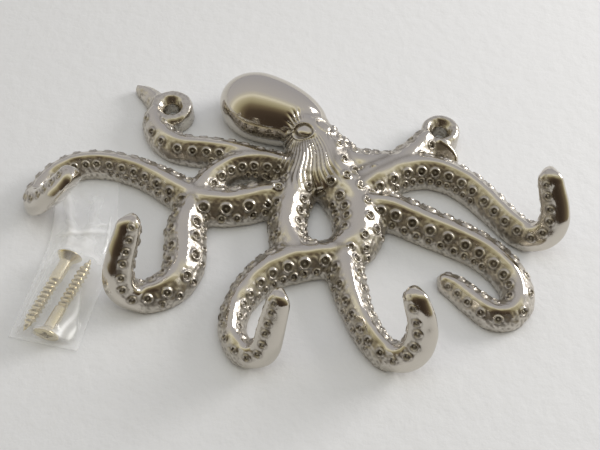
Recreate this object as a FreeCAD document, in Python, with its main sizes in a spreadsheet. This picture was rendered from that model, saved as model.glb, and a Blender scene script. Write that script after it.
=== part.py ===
"""Cast octopus wall hook with its fixing pack: two wood screws in a clear film bag.

The casting lies on its back. The frame's origin is midway between the two screw holes, on the
flat back face. +Z points out of the wall, +Y up the wall and +X to the right. Units: millimetres.
"""
import FreeCAD, Part
import math
import os

import Sketcher
from FreeCAD import Placement, Rotation, Vector

X_AXIS = Vector(1, 0, 0)
Z_AXIS = Vector(0, 0, 1)

# ---------------------------------------------------------------- driving dimensions
SIZES = [
    # the casting as a whole; the limbs' routes below are drawn for these three values
    ("casting_width", 180.0),
    ("casting_drop", 96.0),
    ("hook_rise", 30.0),
    # screw holes and the bosses round them
    ("hole_spacing", 98.0),
    ("hole_diameter", 5.0),
    ("dish_diameter", 9.0),
    ("boss_diameter", 17.0),
    ("boss_thickness", 7.0),
    ("dish_depth", 2.4),
    # mantle (the egg) and eyes
    ("mantle_radius", 12.0),
    ("mantle_rear", 15.0),
    ("mantle_front", 24.0),
    ("mantle_lift", 6.5),
    ("eye_diameter", 6.0),
    # limb sections: one factor each for every limb's own taper
    ("limb_width", 13.0),
    ("limb_height", 10.0),
    # wood screws
    ("screw_length", 28.6),
    ("screw_head_diameter", 8.2),
    ("screw_head_height", 2.6),
    ("screw_shank_diameter", 4.2),
    ("screw_root_diameter", 3.0),
    ("screw_thread_length", 19.0),
    ("screw_thread_pitch", 1.7),
    ("screw_tip_length", 4.5),
    ("screw_runout", 1.0),
    ("screw_slot_width", 1.1),
    ("screw_slot_depth", 1.2),
    # film bag: the pouch is sized by the screws inside it, and a flat flap lies above it
    ("film_thickness", 0.3),
    ("screw_gap", 0.4),
    ("height_room", 0.3),
    ("side_room", 1.5),
    ("end_room", 2.4),
    ("seal_width", 1.5),
    ("flap_length", 24.0),
    ("bag_gap", 4.5),
]

DRAWN_WIDTH = 180.0
DRAWN_DROP = 96.0
DRAWN_RISE = 30.0
DRAWN_SPACING = 98.0
BACK_ALLOWANCE = 0.06      # a limb's belly reaches this share of its height behind the wall plane
DRAWN_LIMB_HEIGHT = 10.0   # the routes put a limb on the wall for this limb_height

doc = FreeCAD.newDocument("octopus_hook")
sheet = doc.addObject("Spreadsheet::Sheet", "sizes")
for row, (alias, value) in enumerate(SIZES, start=1):
    sheet.set("A%d" % row, alias)
    sheet.set("B%d" % row, "%g" % value)
    sheet.setAlias("B%d" % row, alias)
doc.recompute()


def size(alias):
    """The value of one cell of the sheet, in millimetres."""
    return float(sheet.get(alias))


def bind(thing, prop, formula):
    """Ties a property to the sheet; names in the formula are the sheet's aliases."""
    words = formula.replace("(", " ( ").replace(")", " ) ").split()
    bound = ["sizes." + word if word in ALIASES else word for word in words]
    thing.setExpression(prop, " ".join(bound))


ALIASES = {alias for alias, value in SIZES}
STRETCH_X = size("casting_width") / DRAWN_WIDTH
STRETCH_Y = size("casting_drop") / DRAWN_DROP
STRETCH_Z = size("hook_rise") / DRAWN_RISE

# ---------------------------------------------------------------- routes of the limbs
# Each point is x, y, z of the middle of the section, then the section's width and height as
# shares of limb_width and limb_height. A limb lies on the wall where z is half its height.
LIMBS = {
    "web_left": [
        (4.5, -12.0, 6.5, 1.00, 1.30), (2.0, -20.0, 6.5, 1.05, 1.30), (0.0, -29.0, 6.0, 1.05, 1.20),
        (-2.0, -38.0, 5.5, 1.00, 1.10), (-2.2, -46.0, 5.2, 0.95, 1.05), (1.0, -53.0, 5.0, 0.92, 1.00),
        (5.5, -57.5, 4.8, 0.80, 0.94),
    ],
    "web_right": [
        (8.0, -12.0, 6.0, 1.00, 1.20), (12.0, -20.0, 6.3, 1.15, 1.25), (17.5, -28.0, 6.0, 1.20, 1.20),
        (22.5, -35.0, 5.5, 1.10, 1.10), (24.8, -42.0, 5.5, 1.05, 1.10), (22.5, -50.0, 5.2, 1.05, 1.05),
        (17.0, -55.0, 5.0, 0.95, 1.00),
    ],
    "arm_left": [
        (1.0, -31.5, 4.5, 0.80, 0.90), (-10.0, -35.0, 5.2, 0.98, 1.04), (-20.5, -38.5, 5.0, 1.00, 1.00),
        (-28.0, -39.0, 5.0, 1.00, 1.00), (-35.5, -37.0, 4.8, 0.92, 0.96), (-43.5, -33.0, 4.7, 0.84, 0.94),
        (-52.0, -29.0, 4.5, 0.76, 0.90), (-61.5, -26.5, 4.5, 0.72, 0.90), (-71.0, -26.0, 4.4, 0.70, 0.88),
        (-78.5, -28.0, 4.2, 0.70, 0.84), (-84.0, -32.5, 4.1, 0.70, 0.82), (-87.0, -38.5, 4.2, 0.70, 0.80),
        (-87.5, -43.5, 5.8, 0.70, 0.78), (-84.0, -47.0, 9.5, 0.69, 0.76), (-78.5, -47.5, 15.5, 0.64, 0.72),
        (-73.5, -46.0, 21.0, 0.58, 0.66), (-69.5, -44.0, 25.5, 0.46, 0.54),
    ],
    "arm_inner_left_root": [
        (2.0, -22.0, 4.8, 0.70, 0.95), (-9.0, -21.5, 5.4, 0.78, 1.08), (-17.0, -21.5, 5.2, 0.76, 1.03),
        (-23.5, -23.8, 5.0, 0.76, 1.00), (-28.5, -28.2, 5.0, 0.78, 1.00), (-31.5, -33.5, 5.0, 0.82, 1.00),
        (-33.0, -38.5, 5.0, 0.86, 1.00),
    ],
    "arm_inner_left": [
        (-33.0, -36.5, 4.2, 0.70, 0.84), (-34.6, -46.0, 5.0, 0.95, 1.00), (-34.5, -53.0, 5.0, 1.00, 1.00),
        (-33.2, -59.5, 5.0, 0.98, 1.00), (-33.3, -65.5, 4.9, 0.95, 0.98), (-35.8, -71.0, 4.7, 0.88, 0.94),
        (-40.5, -75.3, 4.5, 0.80, 0.90), (-45.5, -77.3, 5.6, 0.75, 0.88), (-49.0, -77.0, 9.6, 0.70, 0.84),
        (-49.3, -74.2, 15.5, 0.66, 0.78), (-47.8, -70.5, 21.0, 0.62, 0.72), (-46.0, -67.0, 26.0, 0.56, 0.66),
        (-45.0, -64.5, 30.0, 0.44, 0.54),
    ],
    "arm_lower_left": [
        (19.5, -52.5, 4.2, 0.75, 0.84), (10.0, -56.0, 5.0, 0.94, 1.00), (1.5, -58.5, 5.0, 1.00, 1.00),
        (-4.5, -62.5, 5.0, 0.98, 1.00), (-9.3, -68.5, 4.8, 0.93, 0.96), (-12.2, -75.5, 4.7, 0.88, 0.94),
        (-13.3, -82.5, 4.6, 0.84, 0.92), (-11.8, -88.8, 4.5, 0.80, 0.90), (-7.8, -93.2, 5.2, 0.76, 0.86),
        (-3.6, -93.8, 8.6, 0.73, 0.82), (-1.7, -91.3, 14.5, 0.68, 0.77), (-0.9, -87.5, 20.0, 0.64, 0.72),
        (0.3, -84.2, 24.5, 0.57, 0.66), (1.3, -82.0, 28.0, 0.44, 0.52),
    ],
    "arm_lower_middle": [
        (18.5, -50.0, 4.2, 0.75, 0.84), (20.0, -60.0, 5.0, 0.97, 1.00), (22.3, -66.8, 5.0, 0.93, 1.00),
        (25.2, -73.5, 4.8, 0.88, 0.96), (28.6, -79.6, 4.7, 0.85, 0.94), (32.3, -84.8, 4.6, 0.82, 0.92),
        (36.6, -88.9, 5.0, 0.80, 0.88), (41.2, -90.0, 7.4, 0.76, 0.84), (44.2, -87.8, 12.4, 0.74, 0.80),
        (44.3, -84.6, 18.0, 0.71, 0.76), (42.2, -81.6, 23.5, 0.65, 0.70), (39.9, -79.2, 27.5, 0.52, 0.58),
    ],
    "arm_lower_right": [
        (20.5, -34.0, 4.4, 0.75, 0.88), (33.0, -35.0, 5.3, 0.98, 1.05), (43.5, -38.8, 5.0, 0.96, 1.00),
        (53.0, -42.3, 5.0, 0.93, 1.00), (61.5, -46.0, 4.8, 0.89, 0.96), (68.5, -50.8, 4.8, 0.85, 0.95),
        (73.6, -56.8, 4.6, 0.81, 0.92), (75.3, -63.0, 4.5, 0.78, 0.90), (73.3, -68.3, 4.3, 0.75, 0.86),
        (68.8, -70.2, 4.0, 0.72, 0.80), (64.0, -68.2, 3.8, 0.69, 0.76), (60.2, -64.8, 3.5, 0.65, 0.70),
        (56.4, -61.4, 3.2, 0.57, 0.64), (52.5, -59.4, 2.8, 0.44, 0.54),
    ],
    "arm_right": [
        (18.0, -32.0, 4.4, 0.75, 0.88), (28.0, -24.5, 5.5, 0.93, 1.08), (35.5, -19.0, 5.2, 0.92, 1.02),
        (43.0, -16.8, 5.0, 0.88, 1.00), (50.5, -17.5, 4.9, 0.84, 0.97), (57.5, -20.6, 4.8, 0.80, 0.95),
        (64.0, -25.8, 4.7, 0.77, 0.93), (69.8, -31.6, 4.5, 0.75, 0.90), (75.0, -36.8, 4.4, 0.73, 0.88),
        (80.0, -40.0, 5.6, 0.71, 0.86), (84.0, -39.9, 9.8, 0.68, 0.82), (84.7, -37.2, 15.5, 0.65, 0.78),
        (83.0, -34.0, 20.5, 0.61, 0.74), (81.2, -31.5, 25.0, 0.56, 0.68), (80.0, -30.0, 28.5, 0.46, 0.58),
    ],
}

# The two limbs that end in a screw boss: their last points are given from the hole's centre.
SCREW_LIMBS = {
    "arm_screw_left": {
        "side": -1,
        "route": [
            (1.0, -23.5, 4.6, 0.70, 0.92), (-11.5, -20.8, 5.2, 0.79, 1.04), (-21.0, -17.8, 4.9, 0.77, 0.97),
            (-29.0, -16.6, 4.7, 0.77, 0.93), (-37.0, -16.5, 4.6, 0.78, 0.92),
        ],
        "landing": [
            (4.5, -15.5, 4.5, 0.79, 0.90), (-1.5, -11.3, 4.4, 0.78, 0.87), (-5.2, -5.5, 4.2, 0.70, 0.84),
            (-6.0, 0.5, 4.0, 0.56, 0.80),
        ],
        "tail": [
            (-5.6, 1.5, 3.6, 0.50, 0.72), (-8.4, 5.2, 3.0, 0.44, 0.60), (-11.6, 8.2, 2.5, 0.36, 0.50),
            (-15.0, 10.4, 2.0, 0.24, 0.38),
        ],
    },
    "arm_screw_right": {
        "side": 1,
        "route": [
            (17.5, -29.0, 4.4, 0.75, 0.88), (26.0, -23.0, 5.4, 0.92, 1.08), (32.5, -18.0, 5.2, 0.92, 1.03),
        ],
        "landing": [
            (-10.8, -12.5, 4.9, 0.90, 0.98), (-6.5, -6.8, 4.7, 0.82, 0.94), (-4.0, -0.5, 4.4, 0.66, 0.86),
        ],
        "tail": [
            (5.8, -0.5, 3.6, 0.46, 0.70), (6.2, -4.4, 3.0, 0.40, 0.60), (6.8, -8.2, 2.4, 0.26, 0.42),
        ],
    },
}

NECK_ROUTE = [
    (-4.5, -3.0, 7.5, 1.35, 1.45), (0.5, -7.0, 7.8, 1.35, 1.50), (5.5, -12.0, 7.5, 1.50, 1.45),
    (9.0, -19.0, 6.9, 1.85, 1.35), (10.5, -26.5, 6.0, 1.95, 1.20),
]
MANTLE_CENTRE = (-17.0, 2.2)
MANTLE_HEADING = -17.0
EYES = {"eye_left": (1.0, -10.0, 14.5), "eye_right": (9.0, -6.5, 12.0)}
KEEP_LARGEST = 0.02        # crumbs under this share of a cut limb's volume are dropped
OVERLAP_ALLOWED = 0.5      # cubic millimetres that two regions may share after a cut
# section spacing of a limb and the cut's tolerance, in the order in which they are tried
CUT_TRIES = ((5.5, 0.0), (5.5, 0.01), (7.0, 0.01), (6.2, 0.005), (4.8, 0.01), (6.6, 0.0))


def on_wall(point):
    """A drawn route point stretched to the casting's own width, drop and rise."""
    x, y, z, width, height = point
    lying = 0.5 * DRAWN_LIMB_HEIGHT * height
    rise = max(z - lying, 0.0) * STRETCH_Z
    level = 0.5 * height * size("limb_height") + min(z - lying, 0.0)
    return (
        x * STRETCH_X,
        y * STRETCH_Y,
        level + rise,
        width * size("limb_width"),
        height * size("limb_height"),
    )


def near_hole(point, side):
    """A route point given from the centre of one screw hole."""
    x, y, z, width, height = point
    return (
        side * 0.5 * size("hole_spacing") + x,
        y,
        z / DRAWN_LIMB_HEIGHT * size("limb_height"),
        width * size("limb_width"),
        height * size("limb_height"),
    )


def towards_hole(point):
    """A point of a screw limb: near the body it follows the width, near the hole the hole."""
    share = min(abs(point[0]) / (0.5 * DRAWN_SPACING), 1.0)
    stretch_hole = size("hole_spacing") / DRAWN_SPACING
    stretch = STRETCH_X * (1.0 - share) + stretch_hole * share
    return (point[0] * stretch,) + on_wall(point)[1:]


def ridge_section(centre, across, outward, width, height):
    """Closed smooth outline of a limb: flat belly, upright sides, two facets up to a ridge."""
    outline = [
        (-0.30, -0.5 - BACK_ALLOWANCE), (0.30, -0.5 - BACK_ALLOWANCE), (0.53, -0.46), (0.54, -0.08),
        (0.38, 0.30), (0.13, 0.54), (-0.13, 0.54), (-0.38, 0.30), (-0.54, -0.08), (-0.53, -0.46),
    ]
    poles = [centre + across * (u * width) + outward * (v * height) for u, v in outline]
    curve = Part.BSplineCurve()
    curve.buildFromPoles(poles, True, 3)
    return Part.Wire([curve.toShape()])


def interpolate(values, place):
    """Linear blend of a list at a fractional index."""
    low = min(int(place), len(values) - 2)
    part = place - low
    return values[low] * (1 - part) + values[low + 1] * part


def limb_solid(points, section_step):
    """Sections carried along a smooth route without twist, skinned into one solid."""
    path = Part.BSplineCurve()
    knots = [0.0]
    for before, after in zip(points, points[1:]):
        knots.append(knots[-1] + Vector(*after[:3]).distanceToPoint(Vector(*before[:3])))
    path.interpolate(Points=[Vector(*point[:3]) for point in points], Parameters=knots)
    count = max(4, round(knots[-1] / section_step))
    outward = Z_AXIS
    tangent_before = None
    sections = []
    for step in range(count + 1):
        reach = knots[-1] * step / count
        index = max(i for i in range(len(knots)) if knots[i] <= reach + 1e-9)
        index = min(index, len(knots) - 2)
        share = index + (reach - knots[index]) / (knots[index + 1] - knots[index])
        centre = path.value(reach)
        tangent = Vector(*path.tangent(reach)[0])
        if tangent_before is None:
            outward = outward - tangent * outward.dot(tangent)
        else:
            outward = Rotation(tangent_before, tangent).multVec(outward)
        outward.normalize()
        tangent_before = tangent
        across = tangent.cross(outward)
        width = interpolate([point[3] for point in points], share)
        height = interpolate([point[4] for point in points], share)
        sections.append(ridge_section(centre, across, outward, width, height))
    return Part.makeLoft(sections, True, False)


def one_solid(shape):
    """The main solid of a cut limb, or None where the cut went wrong."""
    solids = sorted(shape.Solids, key=lambda solid: solid.Volume, reverse=True)
    if not solids or not solids[0].isValid():
        return None
    if len(solids) > 1 and solids[1].Volume > KEEP_LARGEST * solids[0].Volume:
        return None
    for other in casting.values():
        if other.BoundBox.intersect(solids[0].BoundBox):
            if solids[0].common(other).Volume > OVERLAP_ALLOWED:
                return None
    return solids[0]


casting = {}


def trimmed(blank, tolerance):
    """A blank less the regions already made, and cut off flat at the wall."""
    reach = 3 * size("casting_width")
    front = Part.makeBox(reach, reach, reach, Vector(-0.5 * reach, -0.5 * reach, 0))
    touching = [
        shape for shape in casting.values() if shape.BoundBox.intersect(blank.BoundBox)
    ]
    if touching:
        blank = blank.cut(touching, tolerance)
    return blank.common(front)


def add_region(label, make_blank):
    """Makes and trims a blank; a cut that fails is tried again with other section spacing."""
    for section_step, tolerance in CUT_TRIES:
        try:
            solid = one_solid(trimmed(make_blank(section_step), tolerance))
        except (Part.OCCError, ValueError, FloatingPointError):
            solid = None
        if solid is not None:
            break
        print("note: %s is cut again, sections %g mm were no good" % (label, section_step))
    else:
        raise RuntimeError(label + " could not be cut from its neighbours")
    casting[label] = solid
    feature = doc.addObject("Part::Feature", label)
    feature.Label = label
    feature.Shape = solid
    feature.Placement = Placement()
    return feature


# ---------------------------------------------------------------- mantle
def half_egg(label, length, low, high):
    """Half of an ellipsoid whose own Z runs along the mantle."""
    half = doc.addObject("Part::Ellipsoid", label)
    bind(half, "Radius1", length)
    bind(half, "Radius2", "mantle_radius")
    bind(half, "Radius3", "mantle_radius")
    half.Angle1 = low
    half.Angle2 = high
    half.Angle3 = 360
    heading = Rotation(Z_AXIS, MANTLE_HEADING).multVec(X_AXIS)
    centre = Vector(MANTLE_CENTRE[0] * STRETCH_X, MANTLE_CENTRE[1] * STRETCH_Y, size("mantle_lift"))
    half.Placement = Placement(centre, Rotation(Z_AXIS, heading))
    return half


egg = doc.addObject("Part::Fuse", "mantle_egg")
egg.Base = half_egg("mantle_rear_half", "mantle_rear", -90, 0)
egg.Tool = half_egg("mantle_front_half", "mantle_front", 0, 90)
doc.recompute()
add_region("mantle", lambda section_step: egg.Shape)

# ---------------------------------------------------------------- head: pleated neck and two eyes
eyes = []
for label, (x, y, z) in EYES.items():
    eye = doc.addObject("Part::Sphere", label)
    bind(eye, "Radius", "eye_diameter / 2")
    eye.Placement = Placement(Vector(x * STRETCH_X, y * STRETCH_Y, z), Rotation())
    eyes.append(eye)
doc.recompute()


def head_blank(section_step):
    """The neck with the two eyes standing on it."""
    neck = limb_solid([on_wall(point) for point in NECK_ROUTE], section_step)
    return neck.fuse([eye.Shape for eye in eyes])


add_region("head", head_blank)

# ---------------------------------------------------------------- webs and plain limbs
for label, route in LIMBS.items():
    limb_points = [on_wall(point) for point in route]
    add_region(label, lambda section_step: limb_solid(limb_points, section_step))


# ---------------------------------------------------------------- limbs that end in a screw boss
def screw_way(name, side):
    """Straight hole, countersunk dish and the driver's way above them, as one cutter."""
    hole = doc.addObject("Part::Cylinder", "hole_" + name)
    bind(hole, "Radius", "hole_diameter / 2")
    bind(hole, "Height", "boss_thickness")
    dish = doc.addObject("Part::Cone", "dish_" + name)
    bind(dish, "Radius1", "hole_diameter / 2")
    bind(dish, "Radius2", "dish_diameter / 2")
    bind(dish, "Height", "dish_depth")
    bind(dish, "Placement.Base.z", "boss_thickness - dish_depth")
    way = doc.addObject("Part::Cylinder", "driver_way_" + name)
    bind(way, "Radius", "dish_diameter / 2")
    bind(way, "Height", "hook_rise")
    bind(way, "Placement.Base.z", "boss_thickness")
    for cutter in (hole, dish, way):
        bind(cutter, "Placement.Base.x", "%d * hole_spacing / 2" % side)
    fused = doc.addObject("Part::MultiFuse", "screw_way_" + name)
    fused.Shapes = [hole, dish, way]
    return fused


def screw_boss(name, side):
    """Round boss that the limb's end curls about."""
    boss = doc.addObject("Part::Cylinder", "boss_" + name)
    bind(boss, "Radius", "boss_diameter / 2")
    bind(boss, "Height", "boss_thickness")
    bind(boss, "Placement.Base.x", "%d * hole_spacing / 2" % side)
    return boss


for label, limb in SCREW_LIMBS.items():
    side = limb["side"]
    name = label.split("_")[-1]
    cutter = screw_way(name, side)
    boss = screw_boss(name, side)
    doc.recompute()
    route = [towards_hole(point) for point in limb["route"]]
    route += [near_hole(point, side) for point in limb["landing"]]
    tail = [near_hole(point, side) for point in limb["tail"]]

    def screw_limb(section_step):
        """The limb with its boss and pointed tail, drilled for the screw."""
        blank = limb_solid(route, section_step).fuse([boss.Shape, limb_solid(tail, section_step)])
        return blank.cut(cutter.Shape)

    add_region(label, screw_limb)

# ---------------------------------------------------------------- wood screws
RIDGE_SHARE = 0.84         # width of one thread ridge at its foot, as a share of the pitch
FIRST_RIDGE = 1.2          # the first ridge lies this many pitches past the shoulder
FOOT_DEPTH = 0.9           # a ridge starts at this share of the root radius, inside the core
SLOT_REACH = 0.29          # half length of the cross recess, as a share of the head diameter


def origin_plane(body, role):
    """One of the body's own origin planes or axes."""
    return next(item for item in body.Origin.OriginFeatures if item.Role == role)


def sketch_on(body, name, plane):
    """An empty sketch on one of the body's origin planes."""
    sketch = body.newObject("Sketcher::SketchObject", name)
    sketch.AttachmentSupport = [(origin_plane(body, plane), "")]
    sketch.MapMode = "FlatFace"
    return sketch


def closed_outline(sketch, corners):
    """Straight-sided closed outline; each corner is (name, x, y, x formula, y formula)."""
    last = len(corners) - 1
    for index, corner in enumerate(corners):
        after = corners[(index + 1) % len(corners)]
        start = Vector(corner[1], corner[2], 0)
        end = Vector(after[1], after[2], 0)
        sketch.addGeometry(Part.LineSegment(start, end), False)
    for index in range(len(corners)):
        before = last if index == 0 else index - 1
        sketch.addConstraint(Sketcher.Constraint("Coincident", before, 2, index, 1))
    for index, (name, x, y, x_formula, y_formula) in enumerate(corners):
        for kind, value, formula in (("DistanceX", x, x_formula), ("DistanceY", y, y_formula)):
            if formula == "0":
                axis = -2 if kind == "DistanceX" else -1
                sketch.addConstraint(Sketcher.Constraint("PointOnObject", index, 1, axis))
                continue
            number = sketch.addConstraint(Sketcher.Constraint(kind, -1, 1, index, 1, value))
            title = name + "_" + kind[-1].lower()
            sketch.renameConstraint(number, title)
            bind(sketch, "Constraints." + title, formula)


def wood_screw(label, placement):
    """Countersunk wood screw: its axis is local X, the head's face is at x = 0."""
    body = doc.addObject("PartDesign::Body", label)
    body.Label = label
    length = size("screw_length")
    head_radius = 0.5 * size("screw_head_diameter")
    shank_radius = 0.5 * size("screw_shank_diameter")
    root_radius = 0.5 * size("screw_root_diameter")
    shoulder = length - size("screw_thread_length")
    tip_start = length - size("screw_tip_length")

    profile = sketch_on(body, label + "_profile", "XY_Plane")
    closed_outline(profile, [
        ("head_axis", 0.0, 0.0, "0", "0"),
        ("head_rim", 0.0, head_radius, "0", "screw_head_diameter / 2"),
        ("neck", size("screw_head_height"), shank_radius, "screw_head_height",
         "screw_shank_diameter / 2"),
        ("shoulder", shoulder, shank_radius, "screw_length - screw_thread_length",
         "screw_shank_diameter / 2"),
        ("runout", shoulder + size("screw_runout"), root_radius,
         "screw_length - screw_thread_length + screw_runout", "screw_root_diameter / 2"),
        ("cone", tip_start, root_radius, "screw_length - screw_tip_length",
         "screw_root_diameter / 2"),
        ("point", length, 0.0, "screw_length", "0"),
    ])
    turned = body.newObject("PartDesign::Revolution", label + "_turned")
    turned.Profile = profile
    turned.ReferenceAxis = (profile, ["H_Axis"])
    turned.Angle = 360
    doc.recompute()

    pitch = size("screw_thread_pitch")
    first = shoulder + FIRST_RIDGE * pitch
    foot = 0.5 * RIDGE_SHARE * pitch
    foot_radius = FOOT_DEPTH * root_radius
    along_thread = "screw_length - screw_thread_length + %g * screw_thread_pitch"
    foot_formula = "%g * screw_root_diameter / 2" % FOOT_DEPTH
    ridge_sketch = sketch_on(body, label + "_ridge_profile", "XY_Plane")
    closed_outline(ridge_sketch, [
        ("back_foot", first - foot, foot_radius,
         along_thread % (FIRST_RIDGE - 0.5 * RIDGE_SHARE), foot_formula),
        ("crest", first, shank_radius, along_thread % FIRST_RIDGE, "screw_shank_diameter / 2"),
        ("front_foot", first + foot, foot_radius,
         along_thread % (FIRST_RIDGE + 0.5 * RIDGE_SHARE), foot_formula),
    ])
    ridge = body.newObject("PartDesign::Revolution", label + "_ridge")
    ridge.Profile = ridge_sketch
    ridge.ReferenceAxis = (ridge_sketch, ["H_Axis"])
    ridge.Angle = 360
    doc.recompute()

    thread = body.newObject("PartDesign::LinearPattern", label + "_thread")
    thread.Originals = [ridge]
    thread.Direction = (origin_plane(body, "X_Axis"), [""])
    turns = int((tip_start - first) / pitch) + 1
    thread.Occurrences = turns
    thread.Length = pitch * (turns - 1)
    body.Tip = thread
    doc.recompute()

    half_slot = 0.5 * size("screw_slot_width")
    half_reach = SLOT_REACH * size("screw_head_diameter")
    reach = "%g * screw_head_diameter" % SLOT_REACH
    slot = "screw_slot_width / 2"
    for name, half_y, half_z in (("slot_level", half_reach, half_slot),
                                 ("slot_upright", half_slot, half_reach)):
        slot_sketch = sketch_on(body, label + "_" + name + "_outline", "YZ_Plane")
        y_formula = reach if half_y == half_reach else slot
        z_formula = slot if half_y == half_reach else reach
        closed_outline(slot_sketch, [
            ("a", -half_y, -half_z, "-1 * " + y_formula, "-1 * " + z_formula),
            ("b", half_y, -half_z, y_formula, "-1 * " + z_formula),
            ("c", half_y, half_z, y_formula, z_formula),
            ("d", -half_y, half_z, "-1 * " + y_formula, z_formula),
        ])
        pocket = body.newObject("PartDesign::Pocket", label + "_" + name)
        pocket.Profile = slot_sketch
        bind(pocket, "Length", "screw_slot_depth")
        pocket.Reversed = True
        doc.recompute()
    body.Placement = placement
    doc.recompute()
    return body


# ---------------------------------------------------------------- film bag
BAG_TURN = -7.0            # degrees, seen from the front
BAG_TOP_X = -66.7          # middle of the bag's top edge on the drawn casting
SCREW_OFFSET = "( ( screw_head_diameter + screw_shank_diameter ) / 4 + screw_gap / 2 )"
ROOF_SHARE = 0.43          # half width of the pouch's flat roof past a screw, over the head
INSET_SHARE = 0.6          # the roof starts this share of end_room inside the pouch's ends
WALL_SHARE = 0.54          # a limb's widest point from its middle, as a share of its width
TOP_POINT = 8              # the route point of arm_left that the bag's top lies below
POUCH_HALF = "( " + SCREW_OFFSET + " + screw_head_diameter / 2 + side_room )"
ROOF_HALF = "( " + SCREW_OFFSET + " + %g * screw_head_diameter )" % ROOF_SHARE
POUCH_END = "( seal_width + 2 * end_room + screw_length )"
ROOF_INSET = "( %g * end_room )" % INSET_SHARE


def bag_length():
    """From the bottom seal to the top edge of the flap."""
    pouch = 2 * size("seal_width") + 2 * size("end_room") + size("screw_length")
    return pouch + size("flap_length")


def bag_placement():
    """The middle of the bag's top edge lies below the left limb; local +Y runs up the bag."""
    limb = on_wall(LIMBS["arm_left"][TOP_POINT])
    wall_y = limb[1] - WALL_SHARE * limb[3]
    turn = Rotation(Z_AXIS, BAG_TURN)
    top = Vector(BAG_TOP_X * STRETCH_X, wall_y - size("bag_gap"), 0)
    return Placement(top - turn.multVec(Vector(0, bag_length(), 0)), turn)


def tent(label, skin, floor, roof):
    """Frustum over the screws; its own Y is the height and its own Z runs down the bag."""
    shell = doc.addObject("Part::Wedge", label)
    faces = {
        "Xmin": "-1 * ( " + POUCH_HALF + " + " + skin + " )",
        "Xmax": POUCH_HALF + " + " + skin,
        "X2min": "-1 * ( " + ROOF_HALF + " + " + skin + " )",
        "X2max": ROOF_HALF + " + " + skin,
        "Zmin": "-1 * ( " + POUCH_END + " + " + skin + " )",
        "Zmax": "-1 * ( seal_width - " + skin + " )",
        "Z2min": "-1 * ( " + POUCH_END + " - " + ROOF_INSET + " + " + skin + " )",
        "Z2max": "-1 * ( seal_width + " + ROOF_INSET + " - " + skin + " )",
        "Ymin": floor,
        "Ymax": roof,
    }
    for name, formula in faces.items():
        bind(shell, name, formula)
    shell.Placement = Placement(Vector(), Rotation(X_AXIS, 90))
    return shell


def screw_bag():
    """Clear film bag: a welded flat sheet with a hollow pouch at its lower end."""
    sheet_plate = doc.addObject("Part::Box", "bag_sheet")
    bind(sheet_plate, "Length", "2 * ( " + POUCH_HALF + " + film_thickness + seal_width )")
    bind(sheet_plate, "Width",
         "2 * seal_width + 2 * end_room + screw_length + flap_length")
    bind(sheet_plate, "Height", "2 * film_thickness")
    bind(sheet_plate, "Placement.Base.x", "-1 * ( " + POUCH_HALF + " + film_thickness + seal_width )")
    inner_roof = "film_thickness + screw_head_diameter + 2 * height_room"
    outside = tent("pouch_outside", "film_thickness", "0", inner_roof + " + film_thickness")
    inside = tent("pouch_inside", "0", "film_thickness", inner_roof)
    welded = doc.addObject("Part::Fuse", "bag_welded")
    welded.Base = sheet_plate
    welded.Tool = outside
    bag = doc.addObject("Part::Cut", "screw_bag")
    bag.Label = "screw_bag"
    bag.Base = welded
    bag.Tool = inside
    bag.Placement = bag_placement()
    return bag


def screw_place(side):
    """A screw in the pouch: side +1 has its head at the bottom, side -1 at the top."""
    head_radius = 0.5 * size("screw_head_diameter")
    shank_radius = 0.5 * size("screw_shank_diameter")
    across = 0.5 * (head_radius + shank_radius + size("screw_gap"))
    along = size("seal_width") + size("end_room")
    if side < 0:
        along += size("screw_length")
    height = size("film_thickness") + size("height_room") + head_radius
    local = Placement(Vector(side * across, along, height), Rotation(Z_AXIS, side * 90))
    return bag_placement().multiply(local)


screw_bag()
wood_screw("wood_screw_1", screw_place(1))
wood_screw("wood_screw_2", screw_place(-1))
doc.recompute()

# ---------------------------------------------------------------- checks and files
SUB_PARTS = list(casting) + ["screw_bag", "wood_screw_1", "wood_screw_2"]
for thing in doc.Objects:
    if "Invalid" in thing.State or "Error" in thing.State:
        raise RuntimeError("%s failed: %s" % (thing.Label, thing.State))

os.makedirs("parts", exist_ok=True)
for label in SUB_PARTS:
    thing = doc.getObjectsByLabel(label)[0]
    if thing.Shape.isNull() or not thing.Shape.isValid():
        raise RuntimeError(label + " has no valid shape")
    print("%-22s %9.1f mm3" % (label, thing.Shape.Volume))
for label in SUB_PARTS:
    doc.getObjectsByLabel(label)[0].Shape.exportStep("parts/%s.step" % label)
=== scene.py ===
# %% [markdown]
# # Cast octopus wall hook with its fixing pack
#
# The object is one metal casting, an octopus whose arm ends stand up as hooks, and a small clear
# bag with two wood screws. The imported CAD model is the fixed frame: it gives places and bodies.
# Everything below builds the looks round it. Lengths are worked out in millimetres, because that
# is how a caster thinks, and turned into metres when a mesh is made.

# %% Load the frame
import math
import time

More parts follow.
